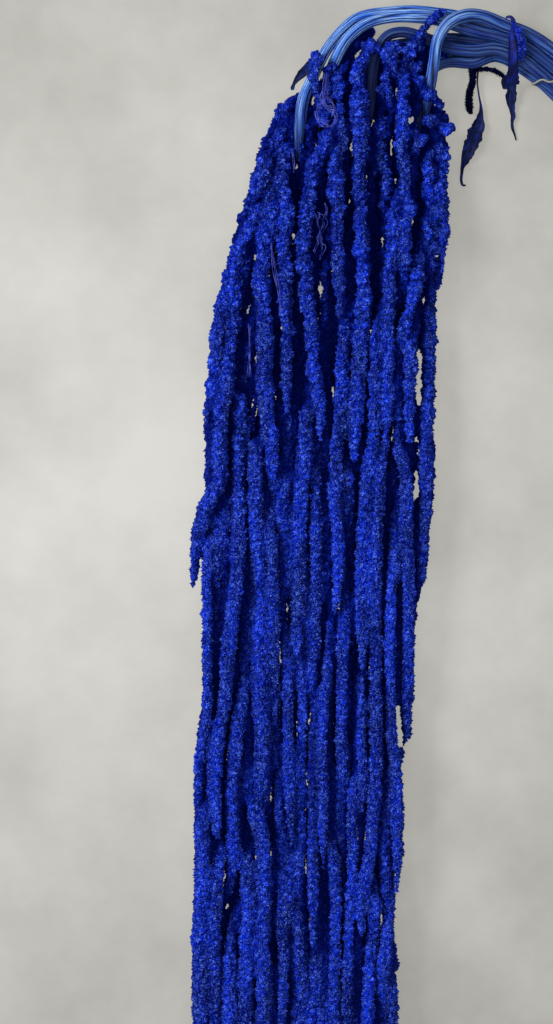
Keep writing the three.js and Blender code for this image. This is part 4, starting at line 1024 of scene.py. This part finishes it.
# The floor and the light. A pale sheet with a painted glow, which gives off light though no lamp lies below
# it, lies under the bunch; a big soft box over the upper left and the bright room round it leave hardly a
# shadow.
PHOTO_SIZE = (553, 1024)
PHOTO_LEVEL = 0.024  # height of the plane that the grid's scale holds for
CAMERA_DISTANCE = 6.0
SENSOR = 36  # the camera's picture height, mm
FLOOR_REACH = 4  # metres to each side
# The floor's painted pool of light: its radius and its centre.
PAINTED_POOL = 0.62  # metres
PAINTED_POOL_CENTRE = (-0.2, 0.05)
# Each lamp's place, its width in metres and its power in watts.
LAMPS = {
    "soft_box": ((-2.2, 1.1, 1.8), 1.2, 84),
    "top_panel": ((0.0, 0.2, 4.0), 2.5, 20),
}

# Cast opal acrylic, frosted: a matt, milky sheet with a painted glow, which gives off light itself with no
# lamp below it. It is painted brightest in one broad pool of painted light, darker away from it, and
# clouded in patches some 14 cm wide.
material, tree = new_material("opal_acrylic_sheet_with_painted_glow")
place = add_node(tree, "ShaderNodeTexCoord").outputs["Object"]
painted_pool_scale = add_node(
    tree, "ShaderNodeVectorMath", {1: (1 / PAINTED_POOL, 1 / PAINTED_POOL, 0)}, {0: place}, operation="MULTIPLY"
).outputs[0]
painted_pool_place = add_node(
    tree, "ShaderNodeVectorMath", {1: (-PAINTED_POOL_CENTRE[0] / PAINTED_POOL, -PAINTED_POOL_CENTRE[1] / PAINTED_POOL, 0)}, {0: painted_pool_scale},
    operation="ADD",
).outputs[0]
painted_light_pool = add_node(
    tree, "ShaderNodeTexGradient", links={"Vector": painted_pool_place}, gradient_type="SPHERICAL"
).outputs["Fac"]
cloud = add_node(
    tree, "ShaderNodeTexNoise", {"Scale": 7.0, "Detail": 5.0, "Roughness": 0.6}, {"Vector": place}
).outputs["Fac"]
uneven = add_node(
    tree, "ShaderNodeMapRange", {"From Min": 0.3, "From Max": 0.7, "To Min": -0.26, "To Max": 0.26},
    {"Value": cloud},
).outputs[0]
painted_light_pool = add_node(
    tree, "ShaderNodeMath", links={0: painted_light_pool, 1: uneven}, operation="ADD", use_clamp=True
).outputs[0]
# The floor is painted lighter in the pool, a painted pool of light.
colour = add_node(
    tree, "ShaderNodeMix", {FIRST: "#6a6964", SECOND: "#888782"}, {FACTOR: painted_light_pool}, data_type="RGBA"
).outputs[MIXED]
# The sheet glows by itself with painted light, though it is no lamp.
surface = add_node(
    tree, "ShaderNodeBsdfPrincipled", {"Roughness": 0.9, "Emission Strength": 1.8},
    {"Base Color": colour, "Emission Color": colour},
)
add_node(tree, "ShaderNodeOutputMaterial", links={"Surface": surface.outputs[0]})
mesh = bpy.data.meshes.new("floor")
corners = [(x * FLOOR_REACH, y * FLOOR_REACH, 0) for x, y in ((-1, -1), (1, -1), (1, 1), (-1, 1))]
mesh.from_pydata(corners, [], [(0, 1, 2, 3)])
mesh.materials.append(material)
floor = bpy.data.objects.new("floor", mesh)
bpy.context.collection.objects.link(floor)

world = bpy.data.worlds.new("bright_room")
bpy.context.scene.world = world
world.use_nodes = True
world.node_tree.nodes["Background"].inputs["Color"].default_value = linear("#f4f6ff")
world.node_tree.nodes["Background"].inputs["Strength"].default_value = 0.4
bpy.context.scene.view_settings.view_transform = "Standard"

for name, (place, size, watts) in LAMPS.items():
    light = bpy.data.lights.new(name, "AREA")
    light.size = size
    light.energy = watts
    lamp = bpy.data.objects.new(name, light)
    lamp.location = place
    lamp.rotation_euler = (-Vector(place)).to_track_quat("-Z", "Y").to_euler()
    bpy.context.collection.objects.link(lamp)

# The camera looks straight down from far off, and its picture covers what the photograph covers.
camera_data = bpy.data.cameras.new("camera")
camera_data.sensor_fit = "VERTICAL"
camera_data.sensor_height = SENSOR
camera_data.lens = SENSOR * CAMERA_DISTANCE / (PHOTO_SIZE[1] * UNIT)
camera = bpy.data.objects.new("camera", camera_data)
camera.location = on_grid(PHOTO_SIZE[0] / 2, PHOTO_SIZE[1] / 2, PHOTO_LEVEL + CAMERA_DISTANCE) + shift
bpy.context.collection.objects.link(camera)
bpy.context.scene.camera = camera
